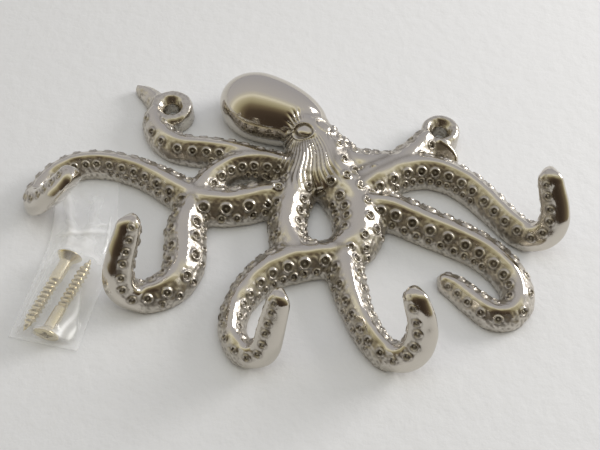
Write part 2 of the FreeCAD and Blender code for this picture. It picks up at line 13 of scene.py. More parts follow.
import bpy
import numpy as np
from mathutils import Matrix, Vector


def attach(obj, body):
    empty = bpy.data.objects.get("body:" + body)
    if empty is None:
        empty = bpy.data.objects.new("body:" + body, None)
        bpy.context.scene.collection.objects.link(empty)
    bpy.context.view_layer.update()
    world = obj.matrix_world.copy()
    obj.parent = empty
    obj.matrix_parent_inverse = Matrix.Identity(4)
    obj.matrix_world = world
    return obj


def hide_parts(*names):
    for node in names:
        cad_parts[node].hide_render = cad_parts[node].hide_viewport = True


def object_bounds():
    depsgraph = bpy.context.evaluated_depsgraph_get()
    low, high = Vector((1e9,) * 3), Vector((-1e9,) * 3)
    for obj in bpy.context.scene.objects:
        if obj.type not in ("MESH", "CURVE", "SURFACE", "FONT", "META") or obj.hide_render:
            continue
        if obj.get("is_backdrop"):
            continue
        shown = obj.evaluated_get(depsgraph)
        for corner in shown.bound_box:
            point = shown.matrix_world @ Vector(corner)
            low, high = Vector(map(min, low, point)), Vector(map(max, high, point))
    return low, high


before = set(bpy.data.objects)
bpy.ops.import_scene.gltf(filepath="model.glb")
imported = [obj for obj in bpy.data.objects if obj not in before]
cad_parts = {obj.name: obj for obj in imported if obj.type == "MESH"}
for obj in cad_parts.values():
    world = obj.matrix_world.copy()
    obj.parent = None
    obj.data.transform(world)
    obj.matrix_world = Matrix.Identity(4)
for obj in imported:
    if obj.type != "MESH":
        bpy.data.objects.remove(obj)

import openvdb
from mathutils import Vector

CAD_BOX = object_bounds()
MM = 0.001
started = time.time()


def said(text):
    """Prints a line with the seconds since the start, so that slow steps show."""
    print("%5.1fs  %s" % (time.time() - started, text), flush=True)


said("CAD box %s %s mm" % tuple([round(c / MM, 1) for c in corner] for corner in CAD_BOX))

# %% [markdown]
# ## Camera
#
# The hook lies on its back and is seen from above its lower end, a little to the right. A camera
# needs a place, a point to look at and a focal length; the rest follows. A 50 mm lens keeps the
# mild perspective in which the near hooks look a little larger than the egg-shaped mantle.

# %% Camera
CAMERA_PLACE = (19.27, -191.64, 241.69)
CAMERA_TARGET = (2.83, -41.51, 0.0)
camera_data = bpy.data.cameras.new("camera")
camera_data.lens = 50
camera_data.sensor_width = 36
camera_data.clip_start = 0.01
camera = bpy.data.objects.new("camera", camera_data)
bpy.context.scene.collection.objects.link(camera)
camera.location = Vector(CAMERA_PLACE) * MM
looking = Vector(CAMERA_TARGET) - Vector(CAMERA_PLACE)
camera.rotation_euler = looking.to_track_quat("-Z", "Y").to_euler()
bpy.context.scene.camera = camera
said("camera %.0f mm from what it looks at" % looking.length)

# %% [markdown]
# ## Routes of the limbs
#
# Each arm is a tapering bar that leaves the body, bends along the wall and, on the hooks, turns
# up and back. The fewest numbers that say this are a few points along its middle, each with the
# bar's width and height there. They stay within a few millimetres of the CAD model's routes, so
# that the looks and the collision shapes agree. Widths and heights are shares of one common size.

# %% Routes: x, y, z of the middle of the bar, then its width and height as shares
LIMB_WIDTH = 13.0
LIMB_HEIGHT = 10.0
HOLE_X = 49.0
ROUTES = {
    "web_left": [
        (4.5, -12.0, 6.5, 1.00, 1.30), (2.4, -20.0, 6.5, 1.02, 1.30), (1.0, -29.0, 6.0, 1.00, 1.20),
        (-0.8, -38.0, 5.5, 0.94, 1.12), (-1.0, -46.0, 5.2, 0.92, 1.07), (1.8, -53.0, 5.0, 0.90, 1.00),
        (6.0, -57.5, 4.8, 0.80, 0.94),
    ],
    "web_right": [
        (8.0, -12.0, 6.0, 1.00, 1.20), (12.0, -20.0, 6.3, 1.15, 1.25), (16.6, -28.0, 6.0, 1.32, 1.20),
        (21.0, -35.0, 5.5, 1.30, 1.10), (22.8, -42.0, 5.5, 1.28, 1.10), (20.4, -50.0, 5.2, 1.20, 1.05),
        (13.5, -53.0, 5.0, 1.05, 1.00),
    ],
    "arm_left": [
        (1.0, -31.5, 4.5, 0.80, 0.90), (-10.0, -35.0, 5.2, 0.98, 1.04), (-20.5, -38.5, 5.0, 1.00, 1.00),
        (-28.0, -39.0, 5.0, 1.00, 1.00), (-35.5, -37.0, 4.8, 0.92, 0.96), (-43.5, -33.0, 4.7, 0.84, 0.94),
        (-52.0, -29.0, 4.5, 0.76, 0.90), (-61.5, -26.5, 4.5, 0.72, 0.90), (-71.0, -26.0, 4.4, 0.70, 0.88),
        (-78.5, -28.0, 4.2, 0.70, 0.84), (-84.0, -32.5, 4.1, 0.70, 0.82), (-87.0, -38.5, 4.2, 0.70, 0.80),
        (-87.5, -43.5, 5.8, 0.70, 0.78), (-84.0, -47.0, 9.5, 0.69, 0.76), (-78.5, -47.5, 15.5, 0.66, 0.72),
        (-73.5, -46.0, 21.0, 0.62, 0.66), (-69.5, -44.0, 25.5, 0.52, 0.56),
    ],
    "arm_inner_left_root": [
        (2.0, -22.0, 4.8, 0.70, 0.95), (-9.0, -21.5, 5.4, 0.78, 1.08), (-17.0, -21.5, 5.2, 0.76, 1.03),
        (-23.5, -23.8, 5.0, 0.76, 1.00), (-28.5, -28.2, 5.0, 0.78, 1.00), (-31.5, -33.5, 5.0, 0.82, 1.00),
        (-33.0, -38.5, 5.0, 0.86, 1.00),
    ],
    "arm_inner_left": [
        (-33.0, -36.5, 4.2, 0.70, 0.84), (-34.6, -46.0, 5.0, 0.95, 1.00), (-34.5, -53.0, 5.0, 1.00, 1.00),
        (-33.2, -59.5, 5.0, 0.98, 1.00), (-33.3, -65.5, 4.9, 0.95, 0.98), (-35.8, -71.0, 4.7, 0.88, 0.94),
        (-40.6, -74.6, 4.5, 0.79, 0.90), (-45.5, -76.2, 5.6, 0.74, 0.88), (-49.0, -75.9, 9.6, 0.71, 0.84),
        (-49.3, -73.2, 15.8, 0.68, 0.78), (-47.9, -69.6, 21.6, 0.65, 0.72), (-46.2, -66.2, 27.0, 0.60, 0.66),
        (-45.4, -63.4, 32.0, 0.50, 0.56),
    ],
    "arm_lower_left": [
        (19.5, -52.5, 4.2, 0.75, 0.84), (10.0, -56.0, 5.0, 0.94, 1.00), (1.5, -58.5, 5.0, 1.00, 1.00),
        (-4.8, -62.3, 5.0, 0.90, 1.00), (-9.9, -68.3, 4.8, 0.78, 0.96), (-13.2, -75.3, 4.7, 0.68, 0.92),
        (-14.2, -82.1, 4.6, 0.64, 0.88), (-12.4, -88.0, 4.5, 0.63, 0.86), (-8.2, -91.6, 5.0, 0.64, 0.82),
        (-3.8, -91.8, 8.0, 0.64, 0.78), (-1.6, -89.4, 14.2, 0.62, 0.74), (-0.5, -86.4, 20.0, 0.60, 0.68),
        (0.5, -84.0, 24.8, 0.56, 0.62), (0.9, -82.4, 29.0, 0.47, 0.52),
    ],
    "arm_lower_middle": [
        (18.5, -50.0, 4.2, 0.75, 0.84), (19.8, -60.0, 5.0, 0.90, 1.00), (21.9, -66.8, 5.0, 0.82, 1.00),
        (24.4, -73.2, 4.8, 0.73, 0.96), (27.5, -79.0, 4.7, 0.69, 0.93), (31.0, -83.8, 4.6, 0.68, 0.90),
        (35.2, -87.2, 5.0, 0.69, 0.86), (39.6, -88.2, 7.4, 0.70, 0.84), (42.7, -86.4, 12.6, 0.71, 0.80),
        (43.0, -83.3, 18.6, 0.69, 0.75), (41.0, -80.3, 24.6, 0.65, 0.68), (38.8, -77.6, 29.4, 0.54, 0.58),
    ],
    "arm_lower_right": [
        (20.5, -34.0, 4.4, 0.75, 0.88), (33.0, -35.0, 5.3, 0.98, 1.05), (43.5, -38.8, 5.0, 0.96, 1.00),
        (53.0, -42.3, 5.0, 0.93, 1.00), (61.5, -46.0, 4.8, 0.89, 0.96), (68.5, -50.8, 4.8, 0.85, 0.95),
        (73.6, -56.8, 4.6, 0.81, 0.92), (75.3, -63.0, 4.5, 0.78, 0.90), (73.3, -68.3, 4.3, 0.75, 0.86),
        (68.6, -70.0, 4.0, 0.72, 0.80), (63.4, -67.6, 3.8, 0.69, 0.76), (58.8, -63.9, 3.5, 0.65, 0.70),
        (54.4, -60.6, 3.2, 0.57, 0.64), (49.6, -58.6, 2.8, 0.44, 0.54),
    ],
    "arm_right": [
        (18.0, -32.0, 4.4, 0.75, 0.88), (28.0, -24.5, 5.5, 0.93, 1.08), (35.5, -19.0, 5.2, 0.92, 1.02),
        (43.0, -16.8, 5.0, 0.88, 1.00), (50.5, -17.5, 4.9, 0.84, 0.97), (57.5, -20.6, 4.8, 0.80, 0.95),
        (64.0, -25.8, 4.7, 0.77, 0.93), (69.8, -31.6, 4.5, 0.75, 0.90), (75.0, -36.8, 4.4, 0.73, 0.88),
        (80.0, -40.0, 5.6, 0.71, 0.86), (84.0, -39.9, 9.8, 0.70, 0.82), (84.7, -37.2, 15.5, 0.68, 0.78),
        (83.0, -34.0, 20.5, 0.65, 0.74), (81.2, -31.5, 25.0, 0.60, 0.68), (80.0, -30.0, 28.5, 0.50, 0.58),
    ],
    "arm_screw_left": [
        (1.0, -23.5, 4.6, 0.70, 0.92), (-11.5, -20.8, 5.2, 0.79, 1.04), (-21.0, -17.8, 4.9, 0.77, 0.97),
        (-29.0, -16.6, 4.7, 0.77, 0.93), (-37.0, -16.5, 4.6, 0.78, 0.92),
        (4.5 - HOLE_X, -15.5, 4.5, 0.79, 0.90), (-1.5 - HOLE_X, -11.3, 4.4, 0.78, 0.87),
        (-5.2 - HOLE_X, -5.5, 4.2, 0.70, 0.84), (-6.0 - HOLE_X, 0.5, 4.0, 0.56, 0.80),
    ],
    "tail_left": [
        (-4.6 - HOLE_X, 1.5, 3.6, 0.52, 0.72), (-7.6 - HOLE_X, 5.6, 3.1, 0.56, 0.62),
        (-11.4 - HOLE_X, 8.8, 2.6, 0.44, 0.52), (-16.0 - HOLE_X, 11.0, 2.0, 0.20, 0.38),
    ],
    "arm_screw_right": [
        (17.5, -29.0, 4.4, 0.75, 0.88), (26.0, -23.0, 5.4, 0.92, 1.08), (32.5, -18.0, 5.2, 0.92, 1.03),
        (HOLE_X - 10.8, -12.5, 4.9, 0.90, 0.98), (HOLE_X - 6.5, -6.8, 4.7, 0.82, 0.94),
        (HOLE_X - 4.0, -0.5, 4.4, 0.66, 0.86),
    ],
    "tail_right": [
        (HOLE_X - 2.0, -5.2, 4.4, 0.46, 0.84), (HOLE_X + 1.6, -6.9, 3.9, 0.48, 0.76),
        (HOLE_X + 4.4, -9.0, 3.1, 0.38, 0.60), (HOLE_X + 6.0, -12.0, 2.3, 0.22, 0.40),
    ],
    "shoulder": [
        (9.0, -13.0, 5.6, 0.90, 1.10), (15.0, -17.0, 5.4, 1.20, 1.06), (22.0, -18.2, 5.1, 1.15, 1.00),
        (29.0, -17.0, 4.9, 1.00, 0.96), (34.0, -14.5, 4.7, 0.80, 0.92),
    ],
    "neck": [
        (-4.5, -3.0, 7.5, 1.35, 1.45), (0.5, -7.0, 7.8, 1.35, 1.50), (5.5, -12.0, 7.5, 1.50, 1.45),
        (9.0, -19.0, 6.9, 1.85, 1.35), (10.0, -26.0, 6.0, 1.95, 1.20), (9.0, -32.5, 5.2, 1.50, 1.00),
    ],
}
said("%d routes, %d points" % (len(ROUTES), sum(len(route) for route in ROUTES.values())))

# %% [markdown]
# ## A bar carried along its route
#
# A modeller in clay rolls a tapering bar and pinches a ridge along its top. The same shape in
# numbers is one outline carried along a smooth line. The line is a natural cubic spline through
# the route's points. The outline must not spin about the line, so its upright direction is
# handed on from station to station, each time losing only its part along the line.


# %% Spline and carried frame
def spline(knots, values, at):
    """Natural cubic spline: between two knots the value is a cubic whose second derivative runs
    straight from one knot's moment to the next, and the moments make the slopes agree."""
    count = len(knots)
    gap = np.diff(knots)
    matrix = np.eye(count)
    inner = np.arange(1, count - 1)
    matrix[inner, inner - 1] = gap[:-1]
    matrix[inner, inner] = 2 * (gap[:-1] + gap[1:])
    matrix[inner, inner + 1] = gap[1:]
    slope = np.diff(values, axis=0) / gap[:, None]
    right = np.zeros_like(values)
    right[1:-1] = 6 * (slope[1:] - slope[:-1])
    moment = np.linalg.solve(matrix, right)
    low = np.clip(np.searchsorted(knots, at, side="right") - 1, 0, count - 2)
    done = (at - knots[low])[:, None]
    left = (knots[low + 1] - at)[:, None]
    span = gap[low][:, None]
    curved = (moment[low] * left**3 + moment[low + 1] * done**3) / (6 * span)
    straight = (values[low] / span - moment[low] * span / 6) * left
    return curved + straight + (values[low + 1] / span - moment[low + 1] * span / 6) * done


def unit(vectors):
    """Each row divided by its own length."""
    return vectors / np.maximum(np.linalg.norm(vectors, axis=-1, keepdims=True), 1e-9)


def smooth_step(values, low, high):
    """0 below low, 1 above high, and 3t^2-2t^3 of the share between."""
    t = np.clip((values - low) / (high - low), 0, 1)
    return t * t * (3 - 2 * t)


HOOK_FACES = np.array((0.0, -0.6, 0.8))       # the sucker side of a hook is turned this way
HOOK_TWIST = math.radians(20.0)


def carried(route, step):
    """Stations along a route: distance, centre, tangent, outward and across directions, size.
    Outward starts as +Z and at each station loses only its part along the tangent. Where the
    route climbs, outward and across are turned about the tangent by HOOK_TWIST."""
    points = np.array(route, float)
    knots = np.concatenate([[0], np.cumsum(np.linalg.norm(np.diff(points[:, :3], axis=0), axis=1))])
    reach = np.linspace(0, knots[-1], int(knots[-1] / step) + 1)
    centre = spline(knots, points[:, :3], reach)
    width = np.interp(reach, knots, points[:, 3]) * LIMB_WIDTH
    height = np.interp(reach, knots, points[:, 4]) * LIMB_HEIGHT
    tangent = unit(np.gradient(centre, axis=0))
    outward = np.zeros_like(centre)
    upright = np.array([0.0, 0.0, 1.0])
    for station, along in enumerate(tangent):
        upright = unit(upright - along * (upright @ along))
        outward[station] = upright
    across = np.cross(tangent, outward)
    side = np.clip(4 * (across @ HOOK_FACES), -1, 1)
    lean = side * HOOK_TWIST * smooth_step(tangent[:, 2], 0.1, 0.6)
    turned = outward * np.cos(lean)[:, None] + across * np.sin(lean)[:, None]
    outward, across = turned, np.cross(tangent, turned)
    return {"reach": reach, "centre": centre, "tangent": tangent, "outward": outward,
            "across": across, "width": width, "height": height}


STATION_STEP = 0.7
bars = {name: carried(route, STATION_STEP) for name, route in ROUTES.items()}
for name, bar in bars.items():
    said("%-20s %6.1f mm long" % (name, bar["reach"][-1]))

# %% [markdown]
# ## The bar's outline
#
# In section an arm is like a house: a flat floor, upright walls about half its height, and two
# roof slopes that meet in a soft ridge. Corner points of that house are pulled into a closed
# uniform B-spline, which rounds each corner by as much as its neighbours are far away.


# %% Outline and skin
HOUSE = np.array([
    (-0.30, -0.56), (0.30, -0.56), (0.53, -0.50), (0.545, -0.30), (0.54, -0.02), (0.34, 0.28),
    (0.125, 0.50), (0.0, 0.56), (-0.125, 0.50), (-0.34, 0.28), (-0.54, -0.02), (-0.545, -0.30),
    (-0.53, -0.50),
])
ROUND_POINTS = 72


def closed_spline(corners, count):
    """Periodic uniform cubic B-spline: each point blends four corners with the weights
    (1-t)^3, 3t^3-6t^2+4, -3t^3+3t^2+3t+1 and t^3, all over six."""
    place = np.arange(count) / count * len(corners)
    low = place.astype(int)
    t = place - low
    weights = np.stack([(1 - t)**3, 3*t**3 - 6*t**2 + 4, -3*t**3 + 3*t**2 + 3*t + 1, t**3], 1) / 6
    return np.einsum("nk,nkd->nd", weights, corners[(low[:, None] + np.arange(-1, 3)) % len(corners)])


def skin(bar, outline):
    """Vertices centre + across*u*width + outward*v*height on a grid of station and outline
    point, with the stations at both ends shrunk by a quarter ellipse so that they are round."""
    left = bar["reach"][-1] - bar["reach"]
    tip = 0.5 * bar["width"].min()
    ends = np.minimum(left, bar["reach"])
    shrink = np.sqrt(np.clip(1 - (1 - np.clip(ends / tip, 0, 1))**2, 0.0004, 1))
    wide = (bar["width"] * shrink)[:, None, None]
    tall = (bar["height"] * shrink)[:, None, None]
    rings = (bar["centre"][:, None] + bar["across"][:, None] * outline[None, :, :1] * wide
             + bar["outward"][:, None] * outline[None, :, 1:] * tall)
    stations, count = rings.shape[:2]
    i = np.arange(stations - 1)[:, None]
    j = np.arange(count)[None]
    after = (j + 1) % count
    sides = np.stack([i*count + j, i*count + after, (i+1)*count + after, (i+1)*count + j], -1)
    vertices = np.concatenate([rings.reshape(-1, 3), bar["centre"][:1], bar["centre"][-1:]])
    ring = np.arange(count)
    foot, top = stations * count, stations * count + 1
    last = (stations - 1) * count
    caps = np.concatenate([
        np.stack([np.full(count, foot), (ring + 1) % count, ring], 1),
        np.stack([np.full(count, top), last + ring, last + (ring + 1) % count], 1),
    ])
    return vertices, sides.reshape(-1, 4), caps


outline = closed_spline(HOUSE, ROUND_POINTS)
said("outline %.2f wide and %.2f tall" % tuple(np.ptp(outline, axis=0)))

# %% [markdown]
# ## One casting out of many bars
#
# Molten metal leaves no gap and no sharp groove where two arms meet: a fillet fills the corner.
# Bars that merely overlap would show a hard line there. So every bar is first turned into a
# field that holds, at each point of a fine grid, the distance to its skin. Two such fields join
# with a smooth minimum: where both distances are nearly equal the result dips a little below
# both, and that dip is the fillet. The wall side is cut flat by a maximum with the distance to
# the wall, and the screw holes are cut in the same way.


# %% Grid and fields
CELL = 0.29
BAND = 3.5
GRID_LOW = np.array([-96.0, -104.0, -3.0])
GRID_HIGH = np.array([96.0, 20.0, 37.0])
FILLET = 2.4
base = np.floor(GRID_LOW / CELL).astype(int)
shape = ((GRID_HIGH - GRID_LOW) / CELL).astype(int)
spacing = openvdb.createLinearTransform(voxelSize=CELL)
whole = np.full(shape, BAND, np.float32)      # distance to the joined skin
nearest = np.full(shape, BAND, np.float32)    # distance to the nearest single bar
owner = np.full(shape, 255, np.uint8)         # which bar that is
owners = []


def smooth_min(a, b, fillet):
    """min(a, b) less h*h*fillet/4, where h is 1 - |a-b|/fillet, and 0 where that is negative."""
    h = np.clip(1 - np.abs(a - b) / fillet, 0, None)
    return np.minimum(a, b) - h * h * fillet * 0.25


def join(name, low, block, fillet):
    """Joins one bar's block of distances, whose first cell is low, into the whole."""
    owners.append(name)
    start = np.maximum(low - base, 0)
    stop = np.minimum(low - base + block.shape, shape)
    here = tuple(slice(a, b) for a, b in zip(start, stop))
    there = tuple(slice(a - o, b - o) for a, b, o in zip(start, stop, low - base))
    mine = block[there]
    whole[here] = smooth_min(whole[here], mine, fillet)
    closer = mine < nearest[here]
    nearest[here] = np.where(closer, mine, nearest[here])
    owner[here][closer] = len(owners) - 1


def block_of_mesh(vertices, quads, triangles):
    """Distances to a closed mesh on the grid cells within BAND of it."""
    grid = openvdb.FloatGrid.createLevelSetFromPolygons(
        points=vertices.astype(np.float32), triangles=triangles.astype(np.uint32),
        quads=quads.astype(np.uint32), transform=spacing, halfWidth=BAND / CELL)
    margin = int(BAND / CELL) + 1
    low = np.floor(vertices.min(0) / CELL).astype(int) - margin
    high = np.ceil(vertices.max(0) / CELL).astype(int) + margin
    block = np.full(high - low, BAND, np.float32)
    grid.copyToArray(block, ijk=tuple(int(c) for c in low))
    return low, block


def cells_in(low, high):
    """First cell and the x, y, z of every cell in a box, as three broadcast arrays."""
    first = np.floor(np.array(low) / CELL).astype(int)
    last = np.ceil(np.array(high) / CELL).astype(int)
    axes = [np.arange(a, b) * CELL for a, b in zip(first, last)]
    return first, np.meshgrid(*axes, indexing="ij", sparse=True)


for name, bar in bars.items():
    join(name, *block_of_mesh(*skin(bar, outline)), FILLET)
said("%d bars joined on a grid of %d million cells" % (len(bars), shape.prod() // 10**6))

# %% [markdown]
# ### The egg-shaped mantle, the eyes and the screw bosses
#
# These are plain round forms, so their distances can be written down directly. An ellipsoid's is
# close to k0*(k0-1)/k1, where k0 is the length of the point divided by the radii and k1 the
# length of the point divided by the squared radii. The mantle is two half ellipsoids of
# different length that share their widest ring. A boss is a short cylinder with a rounded rim.


# %% Mantle, eyes and bosses
def ellipsoid(points, centre, axes, radii):
    """k0*(k0-1)/k1 for points given as three broadcast arrays."""
    local = [sum(a * (p - c) for a, p, c in zip(axis, points, centre)) for axis in axes]
    k0 = np.sqrt(sum((l / r)**2 for l, r in zip(local, radii)))
    k1 = np.sqrt(sum((l / r**2)**2 for l, r in zip(local, radii)))
    return (k0 * (k0 - 1) / np.maximum(k1, 1e-6)).astype(np.float32)


def turned_axes(degrees):
    """Three unit directions: level and turned by that much from +X, level across it, and up."""
    c, s = math.cos(math.radians(degrees)), math.sin(math.radians(degrees))
    return ((c, s, 0.0), (-s, c, 0.0), (0.0, 0.0, 1.0))


MANTLE_CENTRE = (-16.6, 3.0, 6.7)
MANTLE_AXES = turned_axes(-17.0)
MANTLE_RADIUS, MANTLE_REAR, MANTLE_FRONT = 12.5, 15.2, 26.0
low_cell, cells = cells_in((-36, -16, -3), (10, 18, 23))
along = sum(a * (p - c) for a, p, c in zip(MANTLE_AXES[0], cells, MANTLE_CENTRE))
rear = ellipsoid(cells, MANTLE_CENTRE, MANTLE_AXES, (MANTLE_REAR, MANTLE_RADIUS, MANTLE_RADIUS))
front = ellipsoid(cells, MANTLE_CENTRE, MANTLE_AXES, (MANTLE_FRONT, MANTLE_RADIUS, MANTLE_RADIUS))
join("mantle", low_cell, np.where(along < 0, rear, front), 1.6)

EYES = {"eye_left": ((0.9, -12.0, 13.3), -20.0), "eye_right": ((7.8, -8.4, 12.2), -35.0)}
EYE_RADII = (2.9, 1.9, 1.7)
for name, (centre, turn) in EYES.items():
    reach = np.array([6.0, 6.0, 6.0])
    low_cell, cells = cells_in(np.array(centre) - reach, np.array(centre) + reach)
    join(name, low_cell, ellipsoid(cells, centre, turned_axes(turn), EYE_RADII), 0.8)

BOSS_RADII, BOSS_HEIGHT, BOSS_RIM = (7.8, 6.9), 7.4, 2.0
HOLE_RADIUS, DISH_RADIUS, DISH_DEPTH = 2.5, 4.5, 2.4
for name, side, boss_radius in (("boss_left", -1, BOSS_RADII[0]), ("boss_right", 1, BOSS_RADII[1])):
    low_cell, cells = cells_in((side * HOLE_X - 13, -13, -3), (side * HOLE_X + 13, 13, 12))
    radial = np.hypot(cells[0] - side * HOLE_X, cells[1])
    out = radial - (boss_radius - BOSS_RIM)
    up = cells[2] - (BOSS_HEIGHT - BOSS_RIM) + 0 * out
    out = out + 0 * up
    rim = np.hypot(np.maximum(out, 0), np.maximum(up, 0)) + np.minimum(np.maximum(out, up), 0)
    join(name, low_cell, (rim - BOSS_RIM).astype(np.float32), 1.4)
said("mantle, %d eyes and 2 bosses joined" % len(EYES))

# %% Cut the screw holes and the flat back
for side in (-1, 1):
    low_cell, cells = cells_in((side * HOLE_X - 8, -8, -3), (side * HOLE_X + 8, 8, 20))
    radial = np.hypot(cells[0] - side * HOLE_X, cells[1])
    slope = (DISH_RADIUS - HOLE_RADIUS) / DISH_DEPTH
    bore = HOLE_RADIUS + np.clip((cells[2] - BOSS_HEIGHT + DISH_DEPTH) * slope, 0, slope * DISH_DEPTH)
    start = low_cell - base
    here = tuple(slice(a, a + n) for a, n in zip(start, (radial - bore).shape))
    kept = whole[here]
    whole[here] = -smooth_min(-kept, (radial - bore)[..., :kept.shape[2]], 0.7)
depth = (base[2] + np.arange(shape[2])) * CELL
blended = nearest - whole                     # how much the fillets have added
whole = np.maximum(whole, -depth[None, None, :].astype(np.float32))
grid = openvdb.FloatGrid(BAND)
grid.transform = spacing
grid.copyFromArray(whole, ijk=tuple(int(c) for c in base))
points, quads = grid.convertToQuads(0.0)
quads = quads.astype(np.int64)
points = points.astype(float)
said("skin of the casting: %d points, %d quads" % (len(points), len(quads)))


# %% [markdown]
# ## Where each point of the skin lies on its bar
#
# The suckers and pleats follow the arms, so each point needs its own place on its own bar: how
# far along, how far across and how far out. The grid already knows which bar is nearest. Within
# that bar the nearest station gives the three directions, and three dot products give the place.

# %% Local places
def normals_of(points, quads):
    """Each point's normal: the sum of the cross products of its faces' diagonals, made unit."""
    corner = points[quads]
    cross = np.cross(corner[:, 2] - corner[:, 0], corner[:, 3] - corner[:, 1])
    total = np.zeros_like(points)
    for column in range(3):
        weights = np.repeat(cross[:, column], 4)
        total[:, column] = np.bincount(quads.ravel(), weights=weights, minlength=len(points))
    return unit(total)


cell = np.clip(np.round(points / CELL).astype(int) - base, 0, shape - 1)
label = owner[cell[:, 0], cell[:, 1], cell[:, 2]].astype(int)
fillet_depth = blended[cell[:, 0], cell[:, 1], cell[:, 2]]
normal = normals_of(points, quads)
place = np.zeros((len(points), 3))            # along in mm, across and out as shares
rising = np.zeros(len(points))                # how steeply the bar climbs there
for name, bar in bars.items():
    mine = np.flatnonzero(label == owners.index(name))
    if not len(mine):
        continue
    centre = bar["centre"]
    for part in np.array_split(mine, len(mine) // 20000 + 1):
        gap = (centre**2).sum(1)[None] - 2 * points[part] @ centre.T
        station = gap.argmin(1)
        offset = points[part] - centre[station]
        place[part, 0] = bar["reach"][station] + (offset * bar["tangent"][station]).sum(1)
        place[part, 1] = (offset * bar["across"][station]).sum(1) / bar["width"][station]
        place[part, 2] = (offset * bar["outward"][station]).sum(1) / bar["height"][station]
        rising[part] = bar["tangent"][station][:, 2]
said("places found on %d bars" % len(bars))

# %% [markdown]
# ## Suckers
#
# Each sucker is a raised ring round a shallow bowl with a small knob in it, pressed into the clay
# one after another in rows along both roof slopes of an arm. They are real shape, not paint, so
# the skin's points are moved along their normals. The height depends only on q, the distance from
# the sucker's middle over its radius: a hump at the ring, a dip inside it and a hump at the
# centre, each the bell curve exp(-((q-q0)/w)^2).


# %% Sucker rows
RIDGE_EDGE = np.array((0.13, 0.46))
WALL_EDGE = np.array((0.50, 0.02))


def sucker_height(q):
    """Ring at 0.82, bowl at 0.44 and knob at 0, as shares of the radius."""
    ring = 0.38 * np.exp(-((q - 0.82) / 0.19)**2)
    bowl = -0.26 * np.exp(-((q - 0.44) / 0.20)**2)
    knob = 0.26 * np.exp(-(q / 0.20)**2)
    return ring + bowl + knob


def sucker_shade(q):
    """How dark the plating stays: most in the bowl and less just outside the ring."""
    return 0.75 * np.exp(-((q - 0.47) / 0.20)**2) + 0.4 * np.exp(-((q - 1.25) / 0.2)**2)


def row(side, slope_share, size, first, shift=0.0, last=1.0):
    """One row: which slope, how far down it, sucker size as a share of the bar's width, where
    it starts in mm, a shift by a share of the spacing, and where it ends as a share."""
    return {"side": side, "down": slope_share, "size": size, "first": first, "shift": shift,
            "last": last}


def two_rows(first):
    """Large suckers near the ridge and small ones between them near the wall, on both slopes."""
    rows = []
    for side in (-1, 1):
        rows.append(row(side, 0.43, 0.154, first, 0.25 * side, 0.985))
        rows.append(row(side, 0.98, 0.108, first, 0.25 * side + 0.5, 0.55))
    return rows


SUCKER_ROWS = {
    "neck": [row(-1, 0.55, 0.070, 12.0), row(-1, 0.90, 0.065, 12.0), row(-1, 0.22, 0.062, 15.0)],
    "web_left": [row(-1, 0.45, 0.125, 8.0), row(1, 0.45, 0.125, 12.0), row(-1, 1.0, 0.115, 9.0),
                 row(1, 0.95, 0.115, 14.0), row(1, 1.5, 0.10, 17.0)],
    "web_right": [row(-1, 0.15, 0.095, 8.0), row(-1, 0.60, 0.098, 9.5), row(-1, 1.05, 0.090, 8.0),
                  row(1, 0.30, 0.098, 12.0), row(1, 0.85, 0.092, 14.0)],
}
for name, first in (("arm_left", 7.0), ("arm_inner_left_root", 8.0), ("arm_inner_left", 8.0),
                    ("arm_lower_left", 10.0), ("arm_lower_middle", 9.0), ("arm_lower_right", 8.0),
                    ("arm_right", 9.0), ("arm_screw_left", 10.0), ("arm_screw_right", 9.0)):
    SUCKER_ROWS[name] = two_rows(first)
SUCKER_ROWS["shoulder"] = [row(-1, 0.20, 0.095, 6.0), row(-1, 0.75, 0.090, 7.5),
                           row(1, 0.25, 0.095, 8.0)]
BODY = ["neck", "web_left", "web_right"]
SHARED = {              # bars whose skin a row may also mark, where they run into each other
    "neck": BODY,
    "web_left": BODY + ["arm_left", "arm_inner_left_root", "arm_screw_left"],
    "web_right": BODY,
    "shoulder": ["neck", "arm_screw_right"],
}
PITCH = 3.30            # spacing of the suckers of a row, over their radius
SUCKER_EDGE = 1.6       # a sucker marks the skin out to this share of its radius
DEEP_ALONE, DEEP_SHARED = 1.2, 2.4            # and down to this share, on its own bar or on several
THROAT_X, THROAT_Y = (-2.5, 10.5), -31.0      # the pleats under the eyes take up this part
moved = np.zeros(len(points))
hollow = np.clip(fillet_depth / 0.9 - 0.22, 0, 0.45)
worked = np.zeros(len(points))
taken = np.zeros(len(points), bool)
count = 0
